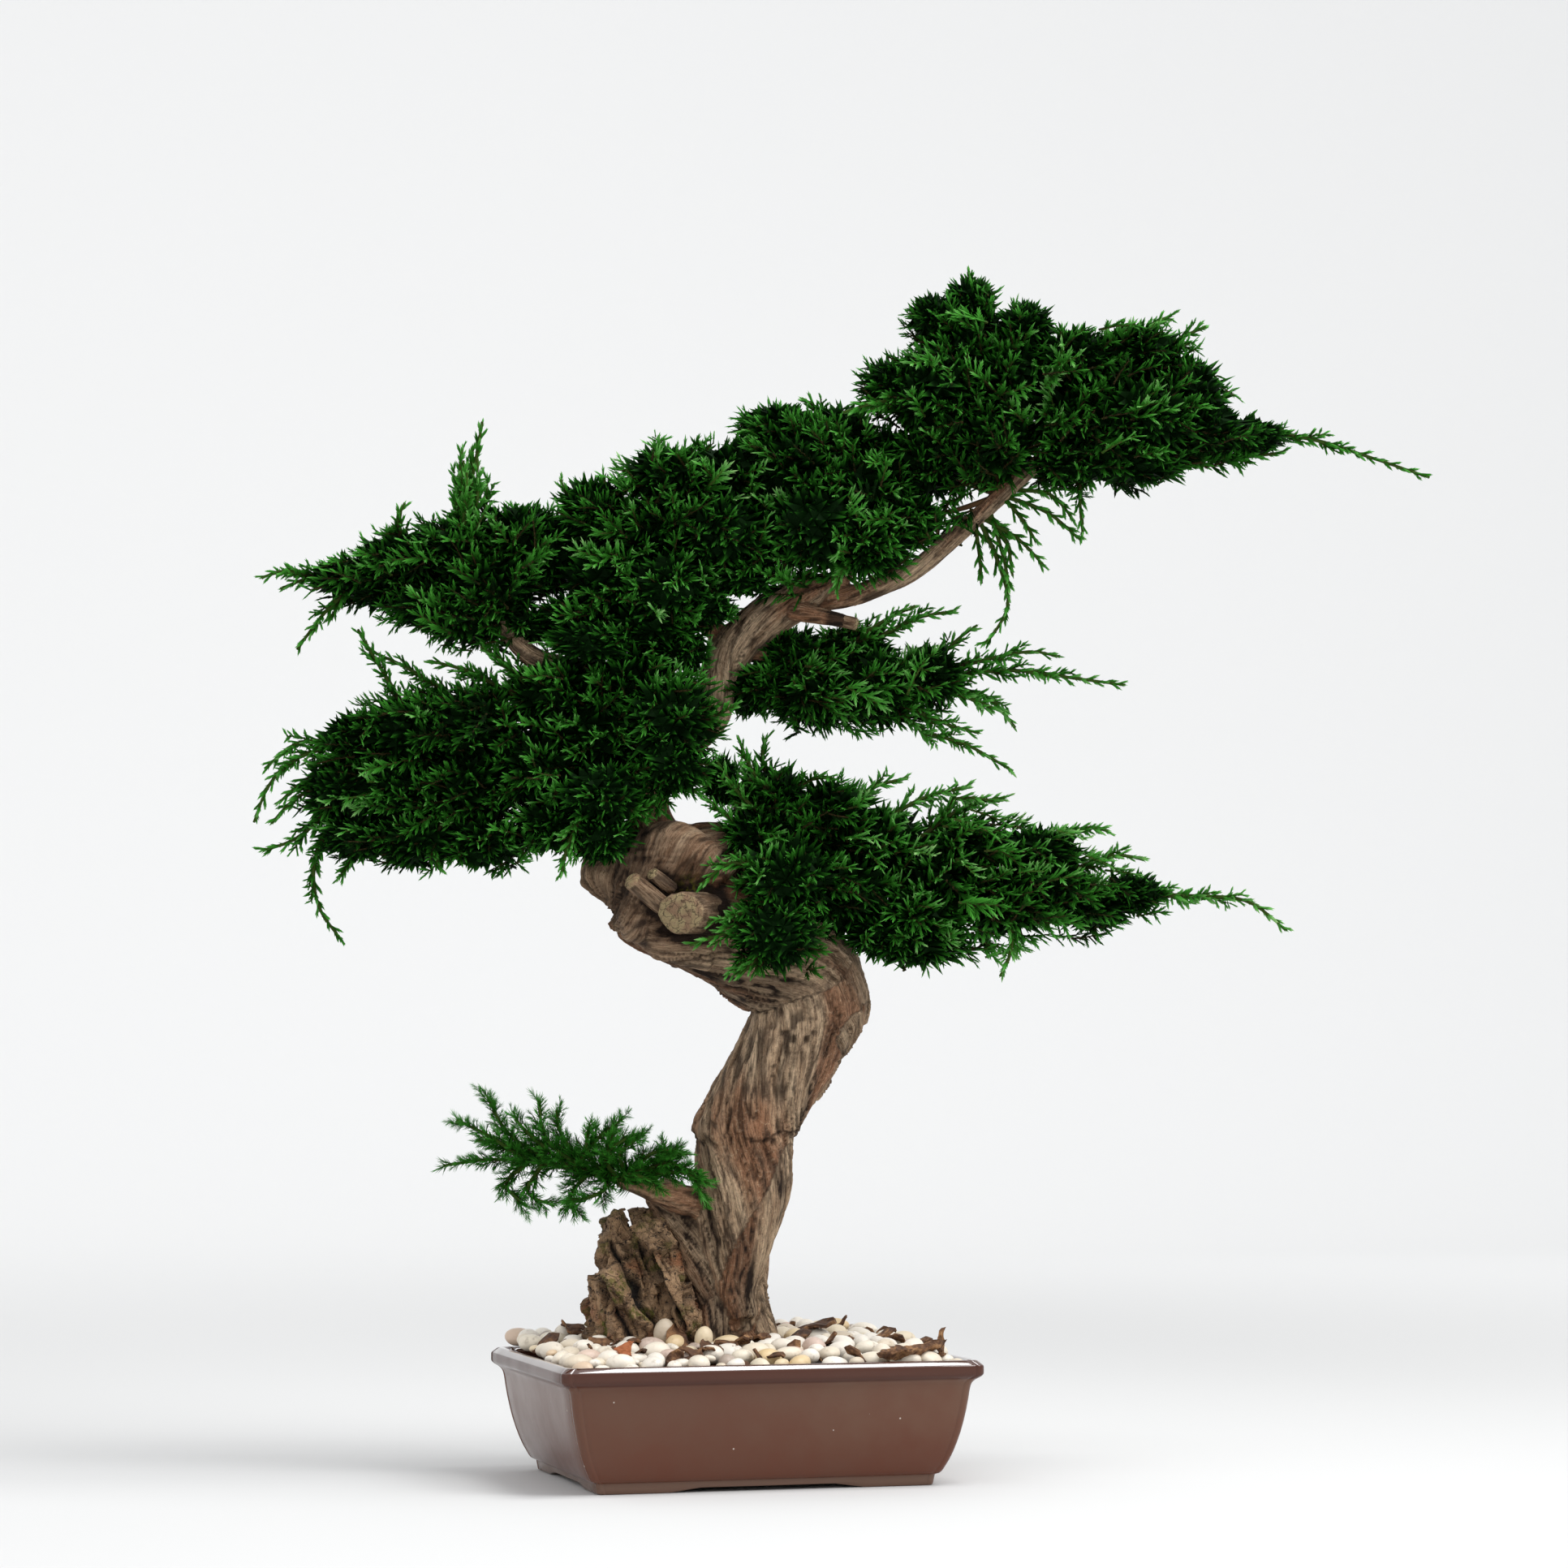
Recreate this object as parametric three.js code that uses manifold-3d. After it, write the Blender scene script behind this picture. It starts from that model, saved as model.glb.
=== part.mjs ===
// A juniper bonsai in a rectangular glazed pot, dressed with white pebbles, rock and dry bark.
//
// Millimetres, +Z up. The pot's long side runs along X. The tree and its rocks are laid out in a
// frame of their own about the pot's upright axis, in which +X runs along the tree's widest side
// and +Y goes away from its front.
import * as THREE from 'three';
import { mergeVertices } from 'three/addons/utils/BufferGeometryUtils.js';
import Module from 'manifold-3d';

const wasm = await Module();
wasm.setup();

// ---------------------------------------------------------------------------------------------
// Driving dimensions
// ---------------------------------------------------------------------------------------------

const CLEARANCE = 0.35; // between two pieces that touch
const TREE_TURN = THREE.MathUtils.degToRad(-16.3);

const POT = {
  length: 309, // over the lip
  depth: 238,
  height: 90,
  cornerRadius: 9,
  sideShare: 0.88, // how far the short walls lean, against the long ones
  // [height, how far the outside lies inside the lip's edge]
  outside: [[0, 30], [6.5, 28.6], [7, 26], [11, 23.5], [24, 17.5], [46, 11.5], [68, 8.5], [74.5, 8],
    [75.5, 6.8], [78, 3.6], [81, 0.8], [84, 0], [88, 0.4], [90, 2.6]],
  inside: [[14, 33], [24, 26], [46, 19.5], [68, 16.5], [82, 14], [88, 10.5], [90.5, 9.8]],
  recessHeight: 6, // of the hollow under the floor, inside the foot ring
  recessInset: 44,
  footLift: 3, // of the skirt between the feet
  frontGap: 121, // from foot to foot
  sideGap: 92,
};

const SOIL = { bottom: 14.4, top: 77 };

const BED = {
  bottom: 77.5,
  rim: 84, // height of the hollows between the pebbles along the pot's rim
  heap: 11, // how far they rise inside the rim
  backRise: 8, // how much higher they are at the back than in the middle
};

const PEBBLES = {
  spacing: [28, 24], // along a row, and from row to row
  stray: 0.42, // of the spacing
  height: [5.5, 8.5], // of a pebble's top over the hollows
  shoulder: 0.7, // how far out the shoulder lies, from the top to a hollow
  shoulderDrop: 0.35,
};

// Trunk and boughs: rows of [x, y, z, radius] along each one's middle.
const TRUNK = {
  lower: [[0, 18, 40, 20], [0, 19, 82, 34], [-2, 19, 102, 31.5], [-5, 16, 128, 29], [-6, 15, 153, 28.5],
    [-2, 11, 189, 31], [5, 10, 219, 36], [8, 9, 249, 36.5], [20, 5, 279, 36.5], [38, 1, 309, 38],
    [54, 0, 334, 42], [59, 0, 350, 41], [57, 0, 366, 34], [52, 0, 376, 22]],
  sweep: [[64, 1, 336, 38], [52, -2, 366, 41], [24, -4, 388, 38.5], [-7, -4, 408, 38.5],
    [-32, 0, 424, 42], [-50, 2, 436, 44]],
  burl: [[-82, 4, 412, 22], [-62, 3, 424, 42], [-44, 2, 436, 47], [-26, 2, 446, 40], [-14, 2, 452, 22]],
  limb: [[-50, 4, 450, 34], [-60, 7, 474, 20], [-62, 10, 497, 13.5], [-54, 18, 524, 13],
    [-34, 20, 543, 13], [-16, 20, 562, 13.5], [-12, 20, 583, 14], [-3, 19, 608, 15], [18, 15, 630, 15],
    [44, 11, 646, 14], [64, 9, 655, 11.5]],
  leftStub: [[-88, 2, 438, 14], [-104, 0, 446, 10.5], [-111, -1, 447, 8]],
  cutKnot: [[-40, -28, 424, 19], [-34, -46, 418, 19.5], [-31, -51, 416, 18]],
  logStub: [[-52, -38, 446, 8.5], [-60, -46, 432, 8], [-68, -45, 424, 6]],
  rightRoot: [[-2, 14, 150, 14], [12, 8, 124, 14], [24, 4, 104, 11], [31, 2, 84, 8]],
  frontRoot: [[-10, 6, 140, 13], [-12, -8, 112, 13], [-13, -14, 84, 10]],
};
const LIMB_SIDES = 8;
const TRUNK_SIDES = 10;
const BOUGH_SIDES = 6;
const RIDGE_COUNT = 4; // the trunk's broad ridges
const RIDGE_SHARE = 0.055;
const RIDGE_TWIST = 0.011; // turn of the ridges, in radians per millimetre

const BOUGHS = [
  // the bare one that carries the crown
  [[52, 10, 646, 9], [84, 11, 646, 8], [113, 10, 656, 7.5], [136, 8, 668, 7.4], [168, 4, 696, 7],
    [216, 0, 740, 6], [240, 0, 760, 5]],
  // into the middle
  [[56, 10, 652, 9], [80, 12, 664, 8], [92, 8, 692, 6], [92, 2, 712, 5]],
  [[-8, 20, 618, 8], [-28, 16, 648, 6.5], [-48, 6, 668, 5]],
  // upper left, with its knob
  [[-20, 22, 566, 8], [-64, 20, 588, 8], [-116, 4, 596, 8], [-146, -14, 602, 8.5], [-166, -14, 622, 6.5],
    [-172, -12, 634, 5]],
  // lower left
  [[-60, 10, 508, 9], [-84, 0, 522, 7], [-96, -8, 532, 6]],
  // under the limb
  [[6, 18, 616, 8], [30, 24, 606, 6], [52, 28, 594, 5]],
  // lower right
  [[-22, 6, 438, 16], [8, 14, 450, 10], [36, 12, 456, 7]],
  // low on the left
  [[-20, 4, 196, 14], [-46, -8, 206, 10], [-68, -12, 213, 7], [-84, -11, 217, 4.4]],
  // cut short beside the fork
  [[46, 4, 640, 8], [68, -4, 634, 6.2], [86, -8, 629, 5.4], [91, -9, 628, 4.6]],
];

// Rocks: rows of [height, middle x, middle y, half width, half depth] from the foot up.
const ROCK_LUMP = [[77.4, -76, 2, 31, 36], [112, -76, 2, 33, 37], [138, -81, 4, 28, 34],
  [160, -86, 5, 21, 27], [182, -87, 5, 13, 18], [196, -82, 4, 5, 8]];
const ROCK_SLAB = [[77.4, -32, -4, 15, 30], [115, -36, -4, 15, 31], [140, -44, -2, 14, 29],
  [164, -55, 1, 13, 24], [186, -63, 3, 11, 16], [198, -65, 4, 7, 8]];
const ROCK_SIDES = 9;
const ROCK_ROUGHNESS = 0.14;

// Dry bark and leaves on the pebbles, in the pot's own frame: the middle of each, its turn, its
// size, how far it curls and how far one end stands up.
const DRY_PIECES = {
  bark_curl: { at: [106, -101, 91.5], turn: 0.34, size: [62, 20, 2.4], curl: 7, rise: 9 },
  bark_point: { at: [134, -82, 89], turn: 1.2, size: [30, 10, 2], curl: 2, rise: 19 },
  bark_chip: { at: [-100, -72, 97], turn: 0.8, size: [19, 13, 4], curl: 1, rise: 5 },
  dry_leaf_left: { at: [-104, 52, 102], turn: 2.6, size: [26, 9, 1.8], curl: 2, rise: 9 },
  dry_leaf_back: { at: [55, 72, 102.5], turn: 2.3, size: [34, 12, 2.2], curl: 3, rise: 12 },
  dry_leaf_right: { at: [92, 60, 101.5], turn: -0.6, size: [30, 9, 1.8], curl: 2, rise: 10 },
};

// Foliage. A mass starts at its root, in the wood or in the mass before it. A clump is
// [x, y, z, half width, half depth, half height] of the space that its shoots fill, and a leader is
// a spray that runs out of the mass: its way, from the wood to its tip.
const LEADER = { joint: 19, shoot: 18, stem: 1.5 }; // from joint to joint, and length of a shoot
const STEM = 6; // radius of the stem from a mass's root to its middle
const HEART = {
  detail: 2, // of the ball that it is drawn from
  core: 0.84, // of the clumps' reach
  rough: 0.1,
  shoots: [0.96, 1.2], // reach of their points
  least: 12,
};

const FOLIAGE = {
  crown_left: {
    root: [200, 2, 726],
    clumps: [[192, -4, 764, 50, 58, 38], [146, 4, 752, 38, 50, 38], [146, -8, 800, 44, 54, 42],
      [168, 16, 836, 42, 52, 38], [178, 10, 872, 26, 32, 26], [206, 8, 812, 50, 62, 42]],
    leaders: [[[176, 14, 860], [178, 12, 884], [177, 10, 900]],
      [[140, -18, 794], [108, -34, 790], [82, -36, 782]]],
  },
  crown_right: {
    root: [236, 0, 757],
    clumps: [[258, 0, 778, 52, 62, 42], [258, 0, 824, 46, 62, 34], [306, -28, 778, 50, 50, 40],
      [308, 34, 786, 50, 48, 40], [302, 0, 830, 46, 58, 30], [346, 0, 802, 44, 58, 40]],
    leaders: [[[346, -6, 780], [392, -4, 772], [432, -10, 766], [474, -14, 752], [517, -20, 736]],
      [[344, 8, 832], [364, 12, 846], [375, 14, 854]],
      [[356, 6, 800], [380, 24, 800], [392, 30, 794]],
      [[262, 0, 762], [258, -14, 726], [260, -18, 692]]],
  },
  middle_right: {
    root: [92, 4, 706],
    clumps: [[88, 0, 726, 50, 60, 42], [44, 0, 748, 50, 62, 42], [78, 12, 768, 46, 54, 34],
      [118, 16, 746, 40, 50, 42], [60, -26, 700, 50, 46, 38], [102, -8, 690, 42, 50, 34],
      [58, 42, 706, 46, 38, 36]],
    leaders: [[[70, 16, 770], [62, 6, 792], [50, 4, 800]],
      [[100, -16, 690], [82, -26, 666], [76, -28, 648]]],
  },
  middle_left: {
    root: [-46, 8, 666],
    clumps: [[-54, 0, 700, 50, 56, 40], [-98, 2, 704, 42, 52, 34], [-46, -4, 738, 48, 56, 32],
      [-4, 0, 736, 46, 58, 38], [-8, -26, 694, 46, 46, 38], [-14, 36, 694, 44, 38, 36],
      [-90, -6, 660, 50, 58, 40], [-46, -34, 654, 42, 38, 32]],
    leaders: [[[-56, -24, 728], [-58, -34, 752], [-48, -36, 766]],
      [[-100, -10, 710], [-122, -20, 724], [-128, -22, 736]]],
  },
  upper_left_inner: {
    root: [-170, -13, 630],
    clumps: [[-180, -4, 654, 50, 58, 40], [-160, 4, 696, 44, 54, 30], [-206, 4, 686, 46, 56, 30],
      [-222, 0, 644, 44, 54, 28]],
    leaders: [[[-196, 4, 690], [-195, 4, 734], [-191, 2, 758], [-187, 0, 781]]],
  },
  upper_left_outer: {
    root: [-204, 0, 688],
    clumps: [[-250, 0, 676, 42, 54, 28], [-262, 10, 658, 40, 46, 24], [-288, 0, 664, 36, 42, 20]],
    leaders: [[[-286, 0, 664], [-312, -2, 664], [-338, -6, 654]],
      [[-280, -4, 660], [-302, -14, 636], [-322, -18, 608]],
      [[-246, -12, 682], [-246, -26, 706], [-242, -28, 716]]],
  },
  lower_left_inner: {
    root: [-90, -4, 528],
    clumps: [[-104, -8, 544, 50, 58, 44], [-46, -34, 554, 46, 44, 42], [-72, -10, 582, 48, 58, 36],
      [-130, -4, 576, 48, 60, 38], [-146, -14, 520, 48, 56, 42], [-94, -50, 498, 42, 36, 30],
      [-42, -46, 520, 34, 30, 30], [-86, 44, 548, 42, 42, 38]],
    leaders: [[[-38, -44, 552], [-14, -48, 556], [6, -50, 566]],
      [[-104, -56, 492], [-118, -62, 462], [-124, -64, 436]]],
  },
  lower_left_outer: {
    root: [-142, 34, 544],
    clumps: [[-192, -4, 550, 50, 58, 44], [-194, -6, 506, 48, 58, 40], [-238, -6, 546, 46, 56, 40],
      [-244, -4, 504, 46, 54, 40], [-276, 0, 542, 38, 48, 30], [-290, 0, 504, 38, 44, 34]],
    leaders: [[[-276, 0, 544], [-322, -10, 528], [-342, -14, 508], [-353, -16, 480]],
      [[-290, -2, 500], [-320, -10, 470], [-350, -14, 458]],
      [[-286, 0, 500], [-308, -6, 456], [-306, -10, 420], [-286, -12, 390]],
      [[-236, -18, 556], [-262, -26, 598], [-276, -28, 622]],
      [[-206, -30, 500], [-218, -34, 460], [-212, -36, 442]]],
  },
  under_limb: {
    root: [48, 27, 596],
    clumps: [[64, 28, 582, 46, 48, 34], [108, 32, 584, 46, 50, 38], [148, 26, 592, 36, 44, 30],
      [30, 36, 580, 34, 38, 28]],
    leaders: [[[146, 24, 592], [210, 18, 596], [254, 14, 590], [295, 10, 584]],
      [[146, 26, 590], [192, 30, 576], [212, 30, 554]],
      [[106, 30, 582], [140, 18, 552], [174, 12, 540], [209, 10, 520]],
      [[146, 28, 596], [168, 34, 620], [184, 36, 632]]],
  },
  hanging_sprays: {
    clumps: [],
    leaders: [[[181, 2, 705], [190, -2, 682], [201, -6, 650], [194, -8, 624], [184, -10, 606]],
      [[181, 2, 705], [206, -8, 688], [233, -14, 669]],
      [[181, 2, 705], [178, 12, 680], [172, 18, 660]]],
  },
  lower_right_inner: {
    root: [30, 12, 456],
    clumps: [[48, 8, 466, 48, 54, 40], [28, 14, 500, 36, 46, 32], [74, 0, 486, 42, 54, 34],
      [40, -44, 436, 44, 40, 40], [86, -10, 424, 46, 60, 40], [114, 4, 464, 42, 54, 34],
      [34, -56, 396, 40, 30, 34]],
    leaders: [[[30, 18, 500], [22, 12, 530], [26, 10, 548]],
      [[34, -50, 440], [0, -56, 448], [-24, -58, 430]],
      [[30, -56, 396], [16, -62, 376], [2, -62, 362]]],
  },
  lower_right_outer: {
    root: [114, 4, 464],
    clumps: [[158, 0, 436, 48, 58, 40], [138, -20, 410, 40, 50, 32], [202, 0, 422, 46, 60, 36],
      [176, 0, 464, 40, 50, 28], [236, 0, 432, 42, 52, 30], [266, 4, 418, 38, 44, 24],
      [296, 0, 428, 32, 36, 20]],
    leaders: [[[294, 0, 428], [342, -6, 426], [380, -12, 422], [410, -18, 399]],
      [[158, 0, 456], [162, -8, 496], [200, -14, 496]],
      [[206, -28, 416], [204, -36, 384], [196, -40, 366]]],
  },
  low_branch: {
    clumps: [],
    leaders: [[[-78, -11, 215], [-124, -6, 226], [-172, -2, 232], [-215, 2, 227]],
      [[-126, -6, 226], [-164, -2, 250], [-184, 0, 284]],
      [[-96, -9, 219], [-134, -14, 244], [-143, -18, 279]],
      [[-82, -11, 215], [-92, -26, 236], [-66, -34, 254]],
      [[-80, -11, 215], [-46, -34, 230], [-14, -42, 214]],
      [[-106, -8, 222], [-118, -22, 206], [-112, -30, 190]],
      [[-112, -6, 223], [-122, 24, 236], [-140, 42, 244]]],
  },
};

// Finish of each kind of piece: colour, roughness and metalness.
const FINISHES = {
  glaze: { color: 0x6b3f2c, roughness: 0.22, metalness: 0 },
  soil: { color: 0x2c211a, roughness: 1, metalness: 0 },
  pebble: { color: 0xe9e2d2, roughness: 0.55, metalness: 0 },
  rock: { color: 0x5c4a35, roughness: 0.95, metalness: 0 },
  bark: { color: 0x6e5544, roughness: 0.9, metalness: 0 },
  dryBark: { color: 0x7a4a2c, roughness: 0.85, metalness: 0 },
  foliage: { color: 0x0f4a20, roughness: 0.7, metalness: 0 },
};

// ---------------------------------------------------------------------------------------------
// Tools: solids, rings and random draws
// ---------------------------------------------------------------------------------------------

const vec = (x, y, z) => new THREE.Vector3(x, y, z);
const count = (n) => Array.from({ length: n }, (_, i) => i);
const lerp = THREE.MathUtils.lerp;

/** A repeatable stream of numbers from 0 to 1. */
function draws(seed) {
  let state = seed >>> 0;
  return () => {
    state = (state + 0x6d2b79f5) >>> 0;
    let mixed = Math.imul(state ^ (state >>> 15), state | 1);
    mixed ^= mixed + Math.imul(mixed ^ (mixed >>> 7), mixed | 61);
    return ((mixed ^ (mixed >>> 14)) >>> 0) / 2 ** 32;
  };
}

/** A closed geometry as a solid that can be joined and cut. */
function solidOf(geometry) {
  const bare = geometry.clone();
  bare.deleteAttribute('normal');
  bare.deleteAttribute('uv');
  const merged = mergeVertices(bare, 1e-4);
  return new wasm.Manifold(new wasm.Mesh({
    numProp: 3,
    vertProperties: new Float32Array(merged.attributes.position.array),
    triVerts: new Uint32Array(merged.index.array),
  }));
}

/** A solid as a geometry again. */
function geometryOf(solid) {
  const mesh = solid.getMesh();
  const geometry = new THREE.BufferGeometry();
  geometry.setAttribute('position', new THREE.BufferAttribute(mesh.vertProperties, 3));
  geometry.setIndex(new THREE.BufferAttribute(mesh.triVerts, 1));
  geometry.computeVertexNormals();
  return geometry;
}

const join = (solids) => solids.reduce((whole, solid) => whole.add(solid));

/** The largest body of a solid, without the scraps that a cut leaves. */
function mainBody(solid) {
  const bodies = solid.decompose();
  return bodies.reduce((most, body) => (body.volume() > most.volume() ? body : most));
}

/** A geometry of plain points and faces. */
function facesGeometry(points, faces) {
  const geometry = new THREE.BufferGeometry();
  geometry.setAttribute('position', new THREE.Float32BufferAttribute(points.flatMap((p) => p.toArray()), 3));
  geometry.setIndex(faces.flat());
  return geometry;
}

/** A closed skin over rings of equally many points, each counterclockwise from the last one's side. */
function loft(rings) {
  const around = rings[0].length;
  const faces = [];
  for (const k of count(rings.length - 1)) {
    for (const i of count(around)) {
      const [a, b] = [k * around + i, k * around + ((i + 1) % around)];
      faces.push([a, b, b + around], [a, b + around, a + around]);
    }
  }
  const last = (rings.length - 1) * around;
  for (const i of count(around - 2)) {
    faces.push([0, i + 2, i + 1], [last, last + i + 1, last + i + 2]);
  }
  return facesGeometry(rings.flat(), faces);
}

/** Rings along a way of [x, y, z, radius] rows, with a section of the given number of sides. */
function tube(rows, { sides, steps = 2, grow = 0, swell = () => 1 }) {
  const curve = new THREE.CatmullRomCurve3(rows.map(([x, y, z]) => vec(x, y, z)), false, 'centripetal');
  const last = (rows.length - 1) * steps;
  const across = vec(1, 0.2, 0);
  let run = 0;
  let before = curve.getPoint(0);
  const rings = count(last + 1).map((k) => {
    const middle = curve.getPoint(k / last);
    const along = curve.getTangent(k / last);
    run += middle.distanceTo(before);
    before = middle;
    across.addScaledVector(along, -across.dot(along)).normalize();
    const beside = along.clone().cross(across);
    const row = Math.min(Math.floor(k / steps), rows.length - 2);
    const radius = lerp(rows[row][3], rows[row + 1][3], k / steps - row) + grow;
    return count(sides).map((i) => {
      const angle = (i / sides) * 2 * Math.PI;
      const reach = radius * swell(angle, run);
      return middle.clone()
        .addScaledVector(across, reach * Math.cos(angle))
        .addScaledVector(beside, reach * Math.sin(angle));
    });
  });
  return solidOf(loft(rings));
}

// ---------------------------------------------------------------------------------------------
// Pot, soil and pebbles
// ---------------------------------------------------------------------------------------------

/** A rounded rectangle at a height, at an inset from the lip's edge. */
function potRing(height, inset, scale = 1) {
  const halfX = (POT.length / 2 - inset) * scale;
  const halfY = (POT.depth / 2 - inset * POT.sideShare) * scale;
  const radius = POT.cornerRadius * scale;
  const corners = [[1, -1, -90], [1, 1, 0], [-1, 1, 90], [-1, -1, 180]];
  return corners.flatMap(([sideX, sideY, start]) => count(4).map((i) => {
    const angle = THREE.MathUtils.degToRad(start + i * 30);
    return vec(
      sideX * (halfX - radius) + radius * Math.cos(angle),
      sideY * (halfY - radius) + radius * Math.sin(angle),
      height,
    );
  }));
}

/** How far the inner wall lies inside the lip's edge at a height. */
function insideInset(height) {
  const rows = POT.inside;
  const k = Math.min(rows.findIndex(([z]) => z >= height) - 1, rows.length - 2);
  const [[z0, inset0], [z1, inset1]] = [rows[Math.max(k, 0)], rows[Math.max(k, 0) + 1]];
  return lerp(inset0, inset1, (height - z0) / (z1 - z0));
}

function makePot() {
  const body = solidOf(loft(POT.outside.map(([z, inset]) => potRing(z, inset))));
  const cavity = solidOf(loft(POT.inside.map(([z, inset]) => potRing(z, inset))));
  const recess = solidOf(loft([-1, POT.recessHeight].map((z) => potRing(z, POT.recessInset))));
  const archHeight = POT.footLift + 1;
  const arch = (x, y) => solidOf(
    new THREE.BoxGeometry(x, y, archHeight).translate(0, 0, POT.footLift - archHeight / 2),
  );
  return body
    .subtract(cavity)
    .subtract(recess)
    .subtract(arch(POT.frontGap, POT.depth * 2))
    .subtract(arch(POT.length * 2, POT.sideGap));
}

/** Rings just inside the inner wall, from one height to another. */
function wallLevels(bottom, top) {
  const between = POT.inside.map(([z]) => z).filter((z) => z > bottom && z < top);
  return [bottom, ...between, top].map((z) => potRing(z, insideInset(z) + CLEARANCE));
}

function makeSoil(trunkHole) {
  return mainBody(solidOf(loft(wallLevels(SOIL.bottom, SOIL.top))).subtract(trunkHole));
}

/** The height of the heaped bed. */
function bedHeight(x, y) {
  const [u, v] = [x / (POT.length / 2), y / (POT.depth / 2)];
  const edge = Math.min(1, Math.max(Math.abs(u), Math.abs(v)) ** 5);
  return BED.rim + BED.heap * (1 - edge) + BED.backRise * v * (1 - edge * 0.5);
}

/** The middle of the pebble at a place in the rows, which lie like bricks. */
function pebbleMiddle(row, column) {
  const random = draws(row * 97 + column * 13 + 5000);
  const [stepX, stepY] = PEBBLES.spacing;
  const x = (column + (row % 2 ? 0.5 : 0) + (random() - 0.5) * PEBBLES.stray) * stepX;
  const y = (row + (random() - 0.5) * PEBBLES.stray) * stepY;
  return vec(x, y, bedHeight(x, y) + lerp(...PEBBLES.height, random()));
}

/** The pebbles round one, counterclockwise from the one to its right. */
function pebblesRound(row, column) {
  const right = column + (row % 2 ? 1 : 0);
  return [[row, column + 1], [row + 1, right], [row + 1, right - 1], [row, column - 1],
    [row - 1, right - 1], [row - 1, right]].map(([r, c]) => pebbleMiddle(r, c));
}

/** The bed of pebbles, each a low dome over the cell between its neighbours, around the holes. */
function makePebbles(holes) {
  const rows = Math.ceil(POT.depth / 2 / PEBBLES.spacing[1]);
  const columns = Math.ceil(POT.length / 2 / PEBBLES.spacing[0]);
  const cells = count(2 * rows + 1).flatMap((r) => count(2 * columns + 1).map((c) => {
    const [row, column] = [r - rows, c - columns];
    const top = pebbleMiddle(row, column);
    const round = pebblesRound(row, column);
    const valley = round.map((next, i) => {
      const between = top.clone().add(next).add(round[(i + 1) % 6]).divideScalar(3);
      return between.setZ(bedHeight(between.x, between.y));
    });
    const shoulder = valley.map((point) => {
      const side = top.clone().lerp(point, PEBBLES.shoulder);
      return side.setZ(lerp(top.z, point.z, PEBBLES.shoulderDrop));
    });
    return [valley.map(({ x, y }) => vec(x, y, BED.bottom)), valley, shoulder, top];
  }));
  const columnsOfStone = cells.map(([foot, valley, shoulder, top]) => {
    const points = [...foot, ...valley, ...shoulder, top];
    const faces = [[0, 2, 1], [0, 3, 2], [0, 4, 3], [0, 5, 4]];
    for (const ring of [0, 6]) {
      for (const i of count(6)) {
        const [p, q] = [ring + i, ring + ((i + 1) % 6)];
        faces.push([p, q, q + 6], [p, q + 6, p + 6]);
      }
    }
    for (const i of count(6)) faces.push([12 + i, 12 + ((i + 1) % 6), 18]);
    return solidOf(facesGeometry(points, faces));
  });
  const insideRim = solidOf(loft([
    ...wallLevels(BED.bottom, POT.height),
    potRing(2 * POT.height, insideInset(POT.height) + CLEARANCE),
  ]));
  const dressed = join(columnsOfStone).intersect(insideRim);
  return mainBody(holes.reduce((rest, hole) => rest.subtract(hole), dressed));
}

// ---------------------------------------------------------------------------------------------
// Rocks and dry bark
// ---------------------------------------------------------------------------------------------

/** A rough rock through levels of [height, x, y, half width, half depth]. */
function makeRock(levels, seed, grow = 0) {
  const random = draws(seed);
  const rings = levels.map(([z, x, y, halfX, halfY], level) => count(ROCK_SIDES).map((i) => {
    const angle = ((i + 0.3 * random()) / ROCK_SIDES) * 2 * Math.PI;
    const rough = 1 - ROCK_ROUGHNESS * random();
    const lift = level ? (random() - 0.5) * 8 : 0;
    return vec(
      x + (halfX * rough + grow) * Math.cos(angle),
      y + (halfY * rough + grow) * Math.sin(angle),
      z + lift + (level === levels.length - 1 ? grow : 0),
    );
  }));
  return solidOf(loft(rings));
}

/** A curled sliver of bark with pointed ends, one of them raised. */
function makeDryPiece({ at, turn, size: [length, width, thickness], curl, rise }, grow = 0) {
  const geometry = new THREE.BoxGeometry(length, width, thickness, 5, 2, 1);
  const place = geometry.attributes.position;
  for (const i of count(place.count)) {
    const [u, v] = [(2 * place.getX(i)) / length, (2 * place.getY(i)) / width];
    const taper = 1 - 0.75 * Math.abs(u) ** 1.6;
    const wander = 0.25 * Math.sin(2.4 * u + turn);
    place.setXYZ(
      i,
      place.getX(i) + Math.sign(u) * grow,
      (v * taper + wander) * (width / 2) + Math.sign(v) * grow,
      place.getZ(i) + Math.sign(place.getZ(i)) * grow
        + curl * v * v * taper + rise * Math.max(0, u) ** 2 + 0.25 * rise * Math.max(0, -u) ** 2,
    );
  }
  return solidOf(geometry.rotateZ(turn).translate(...at));
}

// ---------------------------------------------------------------------------------------------
// Trunk and boughs
// ---------------------------------------------------------------------------------------------

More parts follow.
